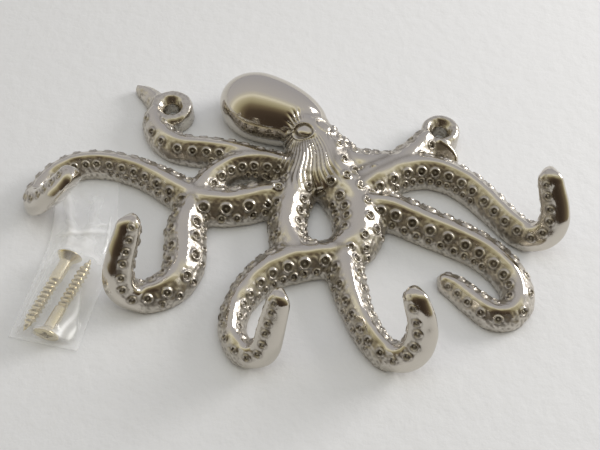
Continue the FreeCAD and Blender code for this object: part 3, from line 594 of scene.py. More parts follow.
for name, rows in SUCKER_ROWS.items():
    bar = bars[name]
    shared = SHARED.get(name, [])
    deepest = DEEP_SHARED if shared else DEEP_ALONE
    mine = np.flatnonzero(np.isin(label, [owners.index(n) for n in shared + [name]]))
    spots = points[mine]
    for entry in rows:
        reach = entry["first"]
        end = bar["reach"][-1] * entry["last"]
        while True:
            width = np.interp(reach, bar["reach"], bar["width"])
            radius = entry["size"] * width
            reach_here = reach + entry["shift"] * PITCH * radius
            if reach_here > end - radius:
                break
            station = np.abs(bar["reach"] - reach_here).argmin()
            height = bar["height"][station]
            spot = RIDGE_EDGE + (WALL_EDGE - RIDGE_EDGE) * entry["down"]
            across, outward = bar["across"][station] * entry["side"], bar["outward"][station]
            middle = bar["centre"][station] + across * spot[0] * width + outward * spot[1] * height
            facing = unit(across * 0.48 * height + outward * 0.40 * width)
            offset = spots - middle
            deep = offset @ facing
            far = np.linalg.norm(offset - deep[:, None] * facing, axis=1) / radius
            near = np.flatnonzero((far < SUCKER_EDGE) & (np.abs(deep) < deepest * radius))
            on_throat = shared and middle[1] > THROAT_Y and THROAT_X[0] < middle[0] < THROAT_X[1]
            if on_throat or taken[mine[near]][far[near] < 1].any():
                reach += PITCH * radius           # no sucker on the pleats or on another sucker
                continue
            taken[mine[near]] |= far[near] < 1
            moved[mine[near]] += sucker_height(far[near]) * radius
            hollow[mine[near]] = np.maximum(hollow[mine[near]], sucker_shade(far[near]))
            count += 1
            reach += PITCH * radius
said("%d suckers raised" % count)

# %% [markdown]
# ## Pleats round the eyes
#
# The skin of the head is gathered at the eyes and fans out in folds, like cloth pulled together
# at one point. A fold pattern is easiest in polar form about the eye: the angle gives the fold and
# the distance only fades it in and out. The absolute value of a cosine has round tops and sharp
# valleys, which is what a thumbnail leaves in clay.

# %% Pleats and lids
head_labels = [owners.index(name) for name in ("neck", "mantle", "web_left", "web_right",
                                               "arm_inner_left_root", "arm_screw_left")]
on_head = np.isin(label, head_labels) & (points[:, 2] > 1.0)


def pleats(centre, first, last, near, far, step, height, sway):
    """Folds that fan out from a centre between two bearings (radians from +X) and two distances:
    height * (|cos(pi * bearing / step)| - 0.7), faded in and out at all four limits."""
    flat = points[:, :2] - np.array(centre)
    distance = np.hypot(flat[:, 0], flat[:, 1])
    bearing = np.arctan2(flat[:, 1], flat[:, 0])
    bearing = np.where(bearing < first - 0.5, bearing + 2 * np.pi, bearing)
    strength = smooth_step(distance, near, near + 1.6) * smooth_step(far - distance, 0, 5.0)
    strength = strength * smooth_step(bearing, first, first + 0.2) * smooth_step(last - bearing, 0, 0.2)
    strength = strength * on_head
    wander = sway * np.sin(0.45 * distance + 2.0 * bearing)
    fold = np.abs(np.cos(np.pi * (bearing / step + wander)))
    return height * strength * (fold - 0.7), strength * np.clip(1 - 1.7 * fold, 0, 1)


FANS = {                # centre, first and last bearing, near and far, step, height, sway
    "eye to mantle": ((1.2, -11.6), 1.70, 3.75, 3.4, 9.5, 0.235, 0.75, 0.15),
    "eye to throat": ((1.0, -4.0), -2.05, -0.95, 10.5, 31.0, 0.070, 0.50, 0.30),
    "right eye": ((7.6, -8.8), -1.35, 0.30, 3.0, 8.0, 0.27, 0.5, 0.15),
}
for fan in FANS.values():
    rise, groove = pleats(*fan)
    moved += rise
    hollow = np.maximum(hollow, groove)
LID_GAP, LID_WIDTH, LID_REACH = 1.28, 0.16, 4.0
for name, (centre, turn) in EYES.items():
    axes = np.array(turned_axes(turn))
    local = (points - np.array(centre)) @ axes.T / np.array((*EYE_RADII[:2], LID_REACH))
    ring = np.linalg.norm(local[:, :2], axis=1)
    near = (np.abs(local[:, 2]) < 1) & np.isin(label, [owners.index(n) for n in ("neck", name)])
    groove = np.exp(-((ring - LID_GAP + 0.22) / 0.12)**2) * near
    lid = np.exp(-((ring - LID_GAP - 0.10) / LID_WIDTH)**2) * near
    moved += 0.42 * lid - 0.45 * groove
    hollow = np.maximum(hollow, 0.9 * groove)
said("pleats and lids: skin moved by %.2f to %.2f mm so far" % (moved.min(), moved.max()))

# %% [markdown]
# ## Hand-worked metal
#
# The polished ridges and the mantle are smooth, but walls and slopes keep the small dents of the
# clay they were cast from, and those dents make the metal glitter. A sum of waves in random
# directions gives dents with no grid in them. The random numbers are seeded.


# %% Dents
def waves(where, length, count, seed):
    """Mean of sines of random direction and phase, scaled to a spread of about one."""
    draw = np.random.default_rng(seed)
    direction = unit(draw.normal(size=(count, 3))) * (2 * np.pi / length)
    phase = draw.uniform(0, 2 * np.pi, count)
    return np.sin(where @ direction.T + phase).sum(-1) / math.sqrt(count / 2)


is_limb = label < len(bars)
slope_share = np.clip((np.abs(place[:, 1]) - 0.10) / 0.10, 0, 1)
off_ridge = np.maximum(slope_share, np.clip((0.30 - place[:, 2]) / 0.15, 0, 1))
worked = np.where(is_limb, off_ridge, 0.0)
worked[label == owners.index("neck")] *= 0.5
hook_back = np.clip((rising - 0.2) / 0.3, 0, 1) * np.clip((0.22 - place[:, 2]) / 0.1, 0, 1)
worked *= 1 - hook_back                       # the outer side of a hook is polished smooth
worked[np.isin(label, [owners.index(n) for n in ("boss_left", "boss_right")])] = 0.6
back = points[:, 2] < 0.02
small = waves(points, 1.5, 14, 11)
broad = waves(points, 7.0, 9, 12)
dents = worked * (0.028 * small + 0.048 * waves(points, 2.9, 11, 13)) + 0.05 * broad * is_limb
moved += np.where(back, 0.0, dents)
hollow = np.clip(hollow + 0.30 * worked * np.clip(-small, 0, 1.5) * (place[:, 2] < 0.25), 0, 1)
moved *= np.clip(points[:, 2] / 0.8, 0, 1)
moved = np.clip(moved, -1.0, 1.0)
points = points + normal * moved[:, None]
points[:, 2] = np.maximum(points[:, 2], 0.0)
normal = normals_of(points, quads)
said("moved by %.2f to %.2f mm" % (moved.min(), moved.max()))

# %% [markdown]
# ## From one skin to named pieces
#
# A casting is one piece of metal, but a parts library wants its regions by name, and no mesh
# should be too heavy. Each face goes to the region that most of its corners belong to. Every
# region is then closed inside the metal: from each of its open edges a band goes in, and a fan
# joins the band's foot to one middle point. The shading normals come from the whole skin, which
# hides the cuts.

# %% Regions
REGIONS = {
    "mantle": ["mantle"],
    "head": ["neck", "eye_left", "eye_right"],
    "arm_screw_left": ["arm_screw_left", "tail_left", "boss_left"],
    "arm_screw_right": ["arm_screw_right", "shoulder", "tail_right", "boss_right"],
}
for name in ("web_left", "web_right", "arm_left", "arm_inner_left_root", "arm_inner_left",
             "arm_lower_left", "arm_lower_middle", "arm_lower_right", "arm_right"):
    REGIONS[name] = [name]
region_names = list(REGIONS)
region_of_owner = np.zeros(len(owners), int)
for index, members in enumerate(REGIONS.values()):
    for member in members:
        region_of_owner[owners.index(member)] = index
region = region_of_owner[label]
for sweep in range(6):                        # each point takes the region most common round it
    votes = sum(np.bincount((quads * len(REGIONS) + region[np.roll(quads, turn, axis=1)]).ravel(),
                            minlength=len(points) * len(REGIONS)) for turn in (1, -1))
    region = votes.reshape(len(points), -1).argmax(1)
face_region = np.sort(region[quads], axis=1)[:, 1]
said("regions: " + ", ".join("%s %d" % (name, np.count_nonzero(face_region == index))
                             for index, name in enumerate(region_names)))


# %% Close a region and make it a mesh
def edge_groups(ends):
    """Number of the connected group of each directed edge: the smallest point index that can be
    reached, found by handing minima back and forth until nothing changes."""
    names, compact = np.unique(ends, return_inverse=True)
    compact = compact.reshape(ends.shape)
    group = np.arange(len(names))
    while True:
        least = np.minimum(group[compact[:, 0]], group[compact[:, 1]])
        after = group.copy()
        np.minimum.at(after, compact[:, 0], least)
        np.minimum.at(after, compact[:, 1], least)
        after = after[after]
        if np.array_equal(after, group):
            return group[compact[:, 0]]
        group = after


RIM_DEPTH = 2.6         # the cuts between regions start this far in
LOWEST, HIGHEST = 0.3, 2.0                    # and meet at a middle point between these heights


def closed_region(faces):
    """The faces' own points and quads, and the triangles that close them: from every open edge a
    band goes RIM_DEPTH into the metal, and a fan joins the band's foot to one low middle point."""
    edges = np.stack([faces, np.roll(faces, -1, axis=1)], -1).reshape(-1, 2)
    key = edges[:, 0] * len(points) + edges[:, 1]
    back_key = edges[:, 1] * len(points) + edges[:, 0]
    open_edges = edges[~np.isin(key, back_key)]
    used, local = np.unique(faces, return_inverse=True)
    local = local.reshape(faces.shape)
    vertices, shading = points[used], normal[used]
    fans = np.zeros((0, 3), int)
    if len(open_edges):
        group = edge_groups(open_edges)
        which = np.unique(group, return_inverse=True)[1]
        middle = np.stack([np.bincount(which, points[open_edges[:, 0], axis])
                           for axis in range(3)], 1) / np.bincount(which)[:, None]
        middle[:, 2] = np.clip(0.35 * middle[:, 2], LOWEST, HIGHEST)
        ends = np.searchsorted(used, open_edges)
        rim = np.unique(ends)
        sunk_rim = points[used[rim]] - normal[used[rim]] * RIM_DEPTH
        sunk_rim[:, 2] = np.maximum(sunk_rim[:, 2], 0.2)
        inner = len(used) + np.searchsorted(rim, ends)
        tops = len(used) + len(rim) + which
        fans = np.concatenate([
            np.stack([ends[:, 1], ends[:, 0], inner[:, 0]], 1),
            np.stack([ends[:, 1], inner[:, 0], inner[:, 1]], 1),
            np.stack([inner[:, 1], inner[:, 0], tops], 1),
        ])
        vertices = np.concatenate([vertices, sunk_rim, middle])
        upwards = np.tile((0.0, 0.0, 1.0), (len(middle), 1))
        shading = np.concatenate([shading, normal[used[rim]], upwards])
    return used, vertices, shading, local, fans


def mesh_object(name, vertices, quads, triangles=None, shading=None):
    """A new object at the origin from points in millimetres, quads and triangles."""
    triangles = np.zeros((0, 3), int) if triangles is None else triangles
    loops = np.concatenate([np.asarray(quads).ravel(), triangles.ravel()]).astype(np.int32)
    sizes = np.concatenate([np.full(len(quads), 4), np.full(len(triangles), 3)])
    mesh = bpy.data.meshes.new(name)
    mesh.vertices.add(len(vertices))
    mesh.vertices.foreach_set("co", (np.asarray(vertices) * MM).astype(np.float32).ravel())
    mesh.loops.add(len(loops))
    mesh.loops.foreach_set("vertex_index", loops)
    mesh.polygons.add(len(sizes))
    starts = np.concatenate([[0], np.cumsum(sizes)[:-1]]).astype(np.int32)
    mesh.polygons.foreach_set("loop_start", starts)
    mesh.update(calc_edges=True)
    mesh.validate()
    mesh.polygons.foreach_set("use_smooth", np.ones(len(mesh.polygons), bool))
    if shading is not None:
        mesh.normals_split_custom_set_from_vertices(shading)
    piece = bpy.data.objects.new(name, mesh)
    bpy.context.scene.collection.objects.link(piece)
    return piece


def point_values(piece, name, values):
    """Stores one number per point as an attribute that materials can read."""
    attribute = piece.data.attributes.new(name, "FLOAT", "POINT")
    filled = np.zeros(len(piece.data.vertices), np.float32)
    filled[:len(values)] = values
    attribute.data.foreach_set("value", filled)


castings = {}
for index, name in enumerate(region_names):
    used, vertices, shading, local, fans = closed_region(quads[face_region == index])
    piece = mesh_object("cast_" + name, vertices, local, fans, shading)
    point_values(piece, "hollow", hollow[used])
    point_values(piece, "worked", worked[used])
    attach(piece, "casting")
    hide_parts(name)
    castings[name] = piece
    said("%-20s %6d triangles" % (name, 2 * len(local) + len(fans)))

# %% [markdown]
# ## Antiqued nickel
#
# The casting is plated with nickel, blackened, and rubbed bright again, so the dark stays in the
# hollows and on the walls. Two effects build this finish and are shader groups: a grain that
# gives a height, and a group that mixes two metals and their roughness by how hollow the place
# is. The screws use the same grain with their own values, and on them the dark that the second
# group puts into the cross recess is painted shade.


# %% Node helpers
def new_material(name):
    """A material, its node tree and its Principled shader."""
    material = bpy.data.materials.new(name)
    material.use_nodes = True
    return material, material.node_tree, material.node_tree.nodes["Principled BSDF"]


def own_place(tree):
    """The place of the shaded point in the piece's own coordinates, in metres."""
    return tree.nodes.new("ShaderNodeTexCoord").outputs["Object"]


def stored(tree, name):
    """The value that point_values stored on the piece under this name."""
    node = tree.nodes.new("ShaderNodeAttribute")
    node.attribute_name = name
    return node.outputs["Fac"]


def relief(tree, shader, height, strength, distance):
    """Tilts the shader's normal by a height, at this strength and depth in metres."""
    bump = tree.nodes.new("ShaderNodeBump")
    bump.inputs["Strength"].default_value = strength
    bump.inputs["Distance"].default_value = distance
    tree.links.new(height, bump.inputs["Height"])
    tree.links.new(bump.outputs["Normal"], shader.inputs["Normal"])


def same_on_node(name, material):
    """Gives the CAD node of that name the new piece's material."""
    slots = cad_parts[name].data.materials
    slots.clear()
    slots.append(material)


def group(name, inputs, outputs):
    """An empty node group with named float or colour sockets; returns it with its two ends."""
    tree = bpy.data.node_groups.new(name, "ShaderNodeTree")
    kinds = {"color": "NodeSocketColor", "value": "NodeSocketFloat", "vector": "NodeSocketVector"}
    for title, kind, default in inputs:
        socket = tree.interface.new_socket(title, in_out="INPUT", socket_type=kinds[kind])
        if default is not None:
            socket.default_value = default
    for title, kind in outputs:
        tree.interface.new_socket(title, in_out="OUTPUT", socket_type=kinds[kind])
    return tree, tree.nodes.new("NodeGroupInput"), tree.nodes.new("NodeGroupOutput")


def math_node(tree, operation, a, b, clamp=False):
    """a (operation) b, where each is a socket or a number; returns the result socket."""
    node = tree.nodes.new("ShaderNodeMath")
    node.operation = operation
    node.use_clamp = clamp
    for socket, value in zip(node.inputs, (a, b)):
        if isinstance(value, (int, float)):
            socket.default_value = value
        else:
            tree.links.new(value, socket)
    return node.outputs[0]


def noise(tree, vector, scale, detail, roughness=0.55):
    """Fractal noise at so many lumps per metre; returns its factor socket."""
    node = tree.nodes.new("ShaderNodeTexNoise")
    node.inputs["Scale"].default_value = scale
    node.inputs["Detail"].default_value = detail
    node.inputs["Roughness"].default_value = roughness
    tree.links.new(vector, node.inputs["Vector"])
    return node.outputs["Fac"]


# %% Shader groups
grain, grain_in, grain_out = group(
    "cast_grain",
    [("Position", "vector", None), ("Worked", "value", 0.5), ("Fine", "value", 0.4)],
    [("Height", "value"), ("Speckle", "value")])
coarse = noise(grain, grain_in.outputs["Position"], 900.0, 4.0, 0.6)
fine = noise(grain, grain_in.outputs["Position"], 3800.0, 2.0, 0.5)
lumps = math_node(grain, "MULTIPLY", coarse, grain_in.outputs["Worked"])
pores = math_node(grain, "MULTIPLY", fine, grain_in.outputs["Fine"])
grain.links.new(math_node(grain, "ADD", lumps, pores), grain_out.inputs["Height"])
grain.links.new(math_node(grain, "MULTIPLY", coarse, fine), grain_out.inputs["Speckle"])

# On the casting Hollow is the blackening left in the hollows; on the screws it is painted shade in the cross
# recess.
patina_and_shade, patina_and_shade_in, patina_and_shade_out = group(
    "rubbed_patina_and_recess_shade",
    [("Position", "vector", None), ("Hollow", "value", 0.0), ("Worked", "value", 0.0),
     ("Bright", "color", (0.7, 0.66, 0.58, 1)), ("Dark", "color", (0.1, 0.07, 0.05, 1)),
     ("Polish", "value", 0.12), ("Dullness", "value", 0.3)],
    [("Color", "color"), ("Roughness", "value")])
cloud = noise(patina_and_shade, patina_and_shade_in.outputs["Position"], 420.0, 5.0, 0.6)
stain = math_node(patina_and_shade, "MULTIPLY", math_node(patina_and_shade, "SUBTRACT", cloud, 0.42), 0.9)
stain = math_node(patina_and_shade, "MULTIPLY", stain, patina_and_shade_in.outputs["Worked"])
deep = math_node(patina_and_shade, "MULTIPLY", patina_and_shade_in.outputs["Hollow"], 0.85)
dark = math_node(patina_and_shade, "ADD", deep, stain, clamp=True)
mix = patina_and_shade.nodes.new("ShaderNodeMix")
mix.data_type = "RGBA"
patina_and_shade.links.new(dark, mix.inputs["Factor"])
patina_and_shade.links.new(patina_and_shade_in.outputs["Bright"], mix.inputs["A"])
patina_and_shade.links.new(patina_and_shade_in.outputs["Dark"], mix.inputs["B"])
patina_and_shade.links.new(mix.outputs["Result"], patina_and_shade_out.inputs["Color"])
dull = math_node(patina_and_shade, "MULTIPLY", patina_and_shade_in.outputs["Worked"], 0.20)
stained = math_node(patina_and_shade, "MULTIPLY", dark, patina_and_shade_in.outputs["Dullness"])
dull = math_node(patina_and_shade, "ADD", dull, stained)
rough = math_node(patina_and_shade, "ADD", dull, patina_and_shade_in.outputs["Polish"])
patina_and_shade.links.new(rough, patina_and_shade_out.inputs["Roughness"])
said("2 shader groups built")


# %% The casting's and the screws' metal
def worn_and_shaded_metal(name, bright, dark, polish, dullness, fine, bump, lumps):
    """Principled metal fed by both groups; attributes hollow and worked say where."""
    material, tree, shader = new_material(name)
    shader.inputs["Metallic"].default_value = 1.0
    where, worked_here = own_place(tree), stored(tree, "worked")
    worn = tree.nodes.new("ShaderNodeGroup")
    worn.node_tree = patina_and_shade
    tree.links.new(where, worn.inputs["Position"])
    # hollow: blackening on the casting, painted shade in the screws' cross recess
    tree.links.new(stored(tree, "hollow"), worn.inputs["Hollow"])
    tree.links.new(worked_here, worn.inputs["Worked"])
    for title, value in (("Bright", bright), ("Dark", dark), ("Polish", polish), ("Dullness", dullness)):
        worn.inputs[title].default_value = value
    tree.links.new(worn.outputs["Color"], shader.inputs["Base Color"])
    tree.links.new(worn.outputs["Roughness"], shader.inputs["Roughness"])
    rough = tree.nodes.new("ShaderNodeGroup")
    rough.node_tree = grain
    tree.links.new(where, rough.inputs["Position"])
    tree.links.new(math_node(tree, "MULTIPLY", worked_here, lumps), rough.inputs["Worked"])
    rough.inputs["Fine"].default_value = fine
    relief(tree, shader, rough.outputs["Height"], bump, 0.0004)
    return material


nickel = worn_and_shaded_metal("antiqued_nickel_rubbed", (0.64, 0.60, 0.535, 1), (0.075, 0.056, 0.040, 1),
                    polish=0.10, dullness=0.30, fine=0.04, bump=0.35, lumps=0.5)
for name, piece in castings.items():
    piece.data.materials.append(nickel)
    same_on_node(name, nickel)
said("metal on %d cast pieces" % len(castings))

# %% [markdown]
# ## Wood screws
#
# A screw is turned round its axis, so its surface needs only the radius at each distance along
# the axis and each angle. The thread is a ridge whose place along the axis runs on by one pitch
# for each full turn: distance over pitch less angle over a full turn is the same along the whole
# ridge. The head's face is a disc with a cross pressed into it.

# %% Screw surface
SCREW_LENGTH, HEAD_RADIUS, HEAD_HEIGHT, HEAD_RIM = 28.6, 4.1, 2.6, 0.35
SHANK_RADIUS, ROOT_RADIUS, THREAD_LENGTH = 2.1, 1.5, 19.0
PITCH_LENGTH, TIP_LENGTH, CROSS_HALF, CROSS_REACH, CROSS_DEPTH = 1.7, 4.5, 0.55, 2.4, 1.2
AROUND, RING_STEP = ((56, 0.11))


def screw_radius(along, angle):
    """Head cone, shank, then a root cylinder with a helical ridge that dies out at the tip."""
    down = np.clip((along - HEAD_RIM) / (HEAD_HEIGHT - HEAD_RIM), 0, 1)
    head = HEAD_RADIUS - (HEAD_RADIUS - SHANK_RADIUS) * down
    shoulder = SCREW_LENGTH - THREAD_LENGTH
    root = SHANK_RADIUS - (SHANK_RADIUS - ROOT_RADIUS) * smooth_step(along, shoulder, shoulder + 1.2)
    taper = np.clip((SCREW_LENGTH - along) / TIP_LENGTH, 0, 1)
    turn = (along / PITCH_LENGTH - angle / (2 * np.pi)) % 1.0
    ridge = np.clip(1 - np.abs(turn - 0.5) / 0.36, 0, 1)**1.3
    grows = smooth_step(along, shoulder + 0.4, shoulder + 2.2)
    core = np.where(along < shoulder + 1.2, np.maximum(head * (along < HEAD_HEIGHT), root), ROOT_RADIUS)
    pointed = np.where(taper < 1, 0.04 + 0.96 * taper**0.8, 1)
    return (core + (SHANK_RADIUS - ROOT_RADIUS) * ridge * grows) * pointed


def cross_arm(over, beside):
    """1 inside one arm of the cross and 0 outside, with soft edges."""
    width = smooth_step(CROSS_HALF + 0.2 - np.abs(over), 0, 0.35)
    return width * smooth_step(CROSS_REACH - np.abs(beside), 0, 0.6)


def screw_grid():
    """Rings from the middle of the face outwards, then down the side to the point."""
    angle = np.arange(AROUND) * 2 * np.pi / AROUND
    face = np.linspace(0.02, 1.0, 16)[:, None] * HEAD_RADIUS
    y, z = face * np.cos(angle), face * np.sin(angle)
    cross = np.maximum(cross_arm(y, z), cross_arm(z, y))
    sunk = cross * CROSS_DEPTH * (1 - 0.35 * face / CROSS_REACH).clip(0.3, 1)
    face_x = sunk + 0.10 * (face / HEAD_RADIUS)**4
    along = np.concatenate([[0.22, HEAD_RIM], np.arange(0.5, SCREW_LENGTH, RING_STEP)])[:, None]
    radius = screw_radius(along, angle)
    side = np.stack([along + 0 * radius, radius * np.cos(angle), radius * np.sin(angle)], -1)
    rings = np.concatenate([np.stack([face_x, y, z], -1), side])
    return rings, sunk


def rings_to_faces(rings):
    """Quads between following rings and one fan of triangles at each end."""
    count, around = rings.shape[:2]
    i, j = np.arange(count - 1)[:, None], np.arange(around)[None]
    after = (j + 1) % around
    quads = np.stack([i*around + j, i*around + after, (i+1)*around + after, (i+1)*around + j], -1)
    ring = np.arange(around)
    last = (count - 1) * around
    first_fan = np.stack([np.full(around, count * around), (ring + 1) % around, ring], 1)
    last_fan = np.stack([np.full(around, count * around + 1), last + ring, last + (ring + 1) % around], 1)
    ends = np.stack([rings[0].mean(0), rings[-1].mean(0)])
    vertices = np.concatenate([rings.reshape(-1, 3), ends])
    return vertices, quads.reshape(-1, 4), np.concatenate([first_fan, last_fan])


# %% Bag frame and the two screws in it
BAG_TURN = math.radians(-6.2)
BAG_FOOT = np.array((-72.6, -94.3))
BAG_LENGTH, BAG_HALF = 66.5, 11.4
FLAP_START, FLAP_LEAN = 37.0, 0.30    # the loose flap leans back the other way
SCREW_ACROSS, SCREW_UP = 3.6, 4.7       # half the gap between the axes, and their height
SCREW_LEAN = math.tan(math.radians(9.0))
SCREW_FOOT = 1.4                      # from the bag's bottom edge to the nearer screw end
SCREW_HALFWAY = 14.0


def screw_line(side, along):
    """Place across the bag of a screw's axis, this far up the bag."""
    return side * SCREW_ACROSS + (along - SCREW_HALFWAY) * SCREW_LEAN


bag_up = np.array((-math.sin(BAG_TURN), math.cos(BAG_TURN)))
bag_side = np.array((math.cos(BAG_TURN), math.sin(BAG_TURN)))


def in_bag(across, along, up):
    """Points in the common frame from places across, along and over the bag, in millimetres.
    Past FLAP_START the places across drift sideways by FLAP_LEAN for each step along."""
    bent = across - FLAP_LEAN * np.logaddexp(0, (along - FLAP_START) / 3.0) * 3.0
    flat = BAG_FOOT + bent[..., None] * bag_side + along[..., None] * bag_up
    return np.concatenate([flat, (up + 0 * across)[..., None]], -1)


# Its dark colour makes stains and, through hollow, painted shade in the cross recess.
zinc = worn_and_shaded_metal("yellow_zinc", (0.78, 0.70, 0.50, 1), (0.16, 0.12, 0.07, 1),
                  polish=0.20, dullness=0.25, fine=0.25, bump=0.25, lumps=0.3)
rings, sunk = screw_grid()
for name, side in (("wood_screw_1", 1), ("wood_screw_2", -1)):
    x, y, z = rings[..., 0], rings[..., 1], rings[..., 2]
    along = SCREW_FOOT + x if side > 0 else SCREW_FOOT + SCREW_LENGTH - x
    placed = in_bag(screw_line(side, along) - side * y, along, SCREW_UP + z)
    vertices, faces, fans = rings_to_faces(placed)
    piece = mesh_object(name + "_turned", vertices, faces, fans)
    # The cross recess is painted darker: painted shade, stored as hollow.
    recess_painted_shade = np.zeros(len(vertices))
    recess_painted_shade[:sunk.size] = (sunk / CROSS_DEPTH).ravel()
    point_values(piece, "hollow", recess_painted_shade)
    point_values(piece, "worked", np.full(len(vertices), 0.3))
    piece.data.materials.append(zinc)
    same_on_node(name, zinc)
    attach(piece, "fixing_pack")
    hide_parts(name)
said("2 screws of %d rings" % len(rings))

# %% [markdown]
# ## The film bag
#
# Two sheets of thin clear film are welded along their edges. Over the screws the upper sheet is
# stretched like a tent, and it lies loose above them. A stretched film takes the shape with the
# least area, and for gentle slopes that means: each point lies at the mean height of its four
# neighbours, except where a screw under it holds it up. Repeating just that rule from a flat
# start gives the tent. The loose part then gets low folds, which are long bell-shaped ridges.

# %% Film surface
FILM_STEP = 0.25
film_along = np.linspace(0, BAG_LENGTH, int(BAG_LENGTH / FILM_STEP) + 1)
film_across = np.linspace(-BAG_HALF, BAG_HALF, int(2 * BAG_HALF / FILM_STEP) + 1)
A, B = np.meshgrid(film_along, film_across, indexing="ij")
held_up = np.zeros_like(A)
for side in (1, -1):
    x = A - SCREW_FOOT if side > 0 else SCREW_FOOT + SCREW_LENGTH - A
    inside = (x > -0.3) & (x < SCREW_LENGTH)
    head = HEAD_RADIUS - (HEAD_RADIUS - SHANK_RADIUS) * np.clip(x, 0, None) / HEAD_HEIGHT
    body = np.where(x < HEAD_HEIGHT, head, SHANK_RADIUS) + 0.2
    gap = np.abs(B - screw_line(side, A))
    dome = SCREW_UP + np.sqrt(np.clip(body**2 - gap**2, 0, None))
    held_up = np.maximum(held_up, np.where(inside & (gap < body), dome, 0))
plane = (9.8 - 0.912 * B - 0.158 * A) * smooth_step(A, 1.0, 6.0)   # taut flank beside the screws
held_up = np.maximum(held_up, np.where((A > 1.3) & (A < 28) & (B > 2.0), np.clip(plane, 0, 6.0), 0))
from_edge = np.minimum.reduce([A, BAG_LENGTH - A, B + BAG_HALF, BAG_HALF - B])
SEAM_WIDTH, SEAM_HEIGHT = 1.3, 0.3
top = np.maximum(held_up, SEAM_HEIGHT)
for sweep in range(1500):
    mean = 0.25 * (top[:-2, 1:-1] + top[2:, 1:-1] + top[1:-1, :-2] + top[1:-1, 2:])
    top[1:-1, 1:-1] = np.maximum(mean, held_up[1:-1, 1:-1])
    top[from_edge < SEAM_WIDTH] = SEAM_HEIGHT


def fold(start, end, height, width, lean):
    """A ridge along a straight line between two places on the bag (across, along): its height
    is a bell curve of the distance from the line, narrower on the side that lean names, and
    fades at both ends."""
    start, end = np.array(start, float), np.array(end, float)
    line = end - start
    length = np.linalg.norm(line)
    line = line / length
    run = (B - start[0]) * line[0] + (A - start[1]) * line[1]
    off = (B - start[0]) * line[1] - (A - start[1]) * line[0]
    ends = smooth_step(run, -2, 4) * smooth_step(length - run, -2, 4)
    sharp = np.where(off * lean > 0, width * 0.45, width)
    return height * ends * np.exp(-(off / sharp)**2)


loose = 1 - np.exp(-np.clip(A - 33, 0, None) / 6)
FOLDS = [               # start and end as (across, along), height, width, steeper side
    ((-9, 38), (9, 43), 0.9, 1.6, 1), ((3, 44), (8.5, 46.5), 0.9, 0.7, -1),
    ((8.0, 34), (9.0, 50), 0.7, 0.8, -1), ((-8.0, 6), (-7.4, 33), 0.6, 0.9, -1),
    ((-3, 33), (-7, 56), 0.7, 1.8, 0), ((2, 33), (4, 57), 0.5, 2.2, 0),
    ((0, 5), (0.4, 30), 0.25, 0.8, 1),
]
folds = sum(fold(*line) for line in FOLDS)
spread = np.stack([A, B, 0 * A], -1)
flank = smooth_step(plane, 0.2, 0.9) * smooth_step(6.2 - plane, 0, 1.0) * smooth_step(28 - A, 0, 2)
flank = flank * smooth_step(B - screw_line(1, A), 1.8, 3.0)
# The stripes on the flank raise the film's opacity over its near-white colour: painted highlight streaks
# beside the right screw. Along the folds the opacity rises for creased film.
painted_streaks = 0.5 + 0.5 * np.sin(2.6 * (B - 0.16 * A) + 0.6 * waves(spread, 11.0, 5, 35))
creases_and_painted_streaks = np.clip(0.6 * folds + flank * (0.5 + 1.1 * painted_streaks**2), 0, 1.6)
crumple = 0.22 * waves(spread, 9.0, 7, 31) + 0.08 * waves(spread, 3.5, 9, 32)
inner = smooth_step(from_edge, 0.8, 3.5)
top = top + folds * inner + np.abs(crumple) * inner * (0.35 + 0.65 * loose) * (1 - 0.9 * flank)
top = np.clip(top, 0.25, 9.6)
under = 0.06 + 0.10 * inner * (1 + waves(spread, 8.0, 6, 33)).clip(0, 2) / 2
edge_wave = np.abs(0.25 * waves(spread, 14.0, 5, 34) * (1 - inner))
top = top + edge_wave
under = under + edge_wave
said("film top reaches %.1f mm" % top.max())


# %% Film mesh: two sheets joined round their rim
def two_sheets(top_points, under_points):
    """Quads of both sheets, the lower one turned over, and one ring of quads between rims."""
    rows, columns = top_points.shape[:2]
    index = np.arange(rows * columns).reshape(rows, columns)
    upper = np.stack([index[:-1, :-1], index[:-1, 1:], index[1:, 1:], index[1:, :-1]], -1)
    upper = upper.reshape(-1, 4)
    lower = upper[:, ::-1] + rows * columns
    rim = np.concatenate([index[0, :-1], index[:-1, -1], index[-1, :0:-1], index[:0:-1, 0]])
    after = np.roll(rim, -1)
    band = np.stack([after, rim, rim + rows * columns, after + rows * columns], -1)
    vertices = np.concatenate([top_points.reshape(-1, 3), under_points.reshape(-1, 3)])
    return vertices, np.concatenate([upper, lower, band])


vertices, faces = two_sheets(in_bag(B, A, top), in_bag(B, A, under))
film = mesh_object("screw_bag_film", vertices, faces)
# The stored values are the creases and the painted highlight streaks.
point_values(film, "creases_and_painted_streaks", np.concatenate([creases_and_painted_streaks.ravel(), np.zeros(creases_and_painted_streaks.size)]))
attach(film, "fixing_pack")
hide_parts("screw_bag")
said("film %d quads" % len(faces))

# %% Clear film
clear, tree, shader = new_material("clear_film")
# The weak white emission is painted light: the film glows a little, in place of light scattered through it.
for title, value in (("Base Color", (0.95, 0.95, 0.95, 1)), ("IOR", 1.6), ("Roughness", 0.12),
                     ("Specular IOR Level", 0.9), ("Emission Color", (1.0, 1.0, 1.0, 1)),
                     ("Emission Strength", 0.06)):
    shader.inputs[title].default_value = value
where = own_place(tree)
edge = tree.nodes.new("ShaderNodeLayerWeight")
edge.inputs["Blend"].default_value = 0.35
seen = math_node(tree, "MULTIPLY", edge.outputs["Facing"], 0.40)
seen = math_node(tree, "ADD", seen, math_node(tree, "MULTIPLY", noise(tree, where, 160.0, 3.0), 0.20))
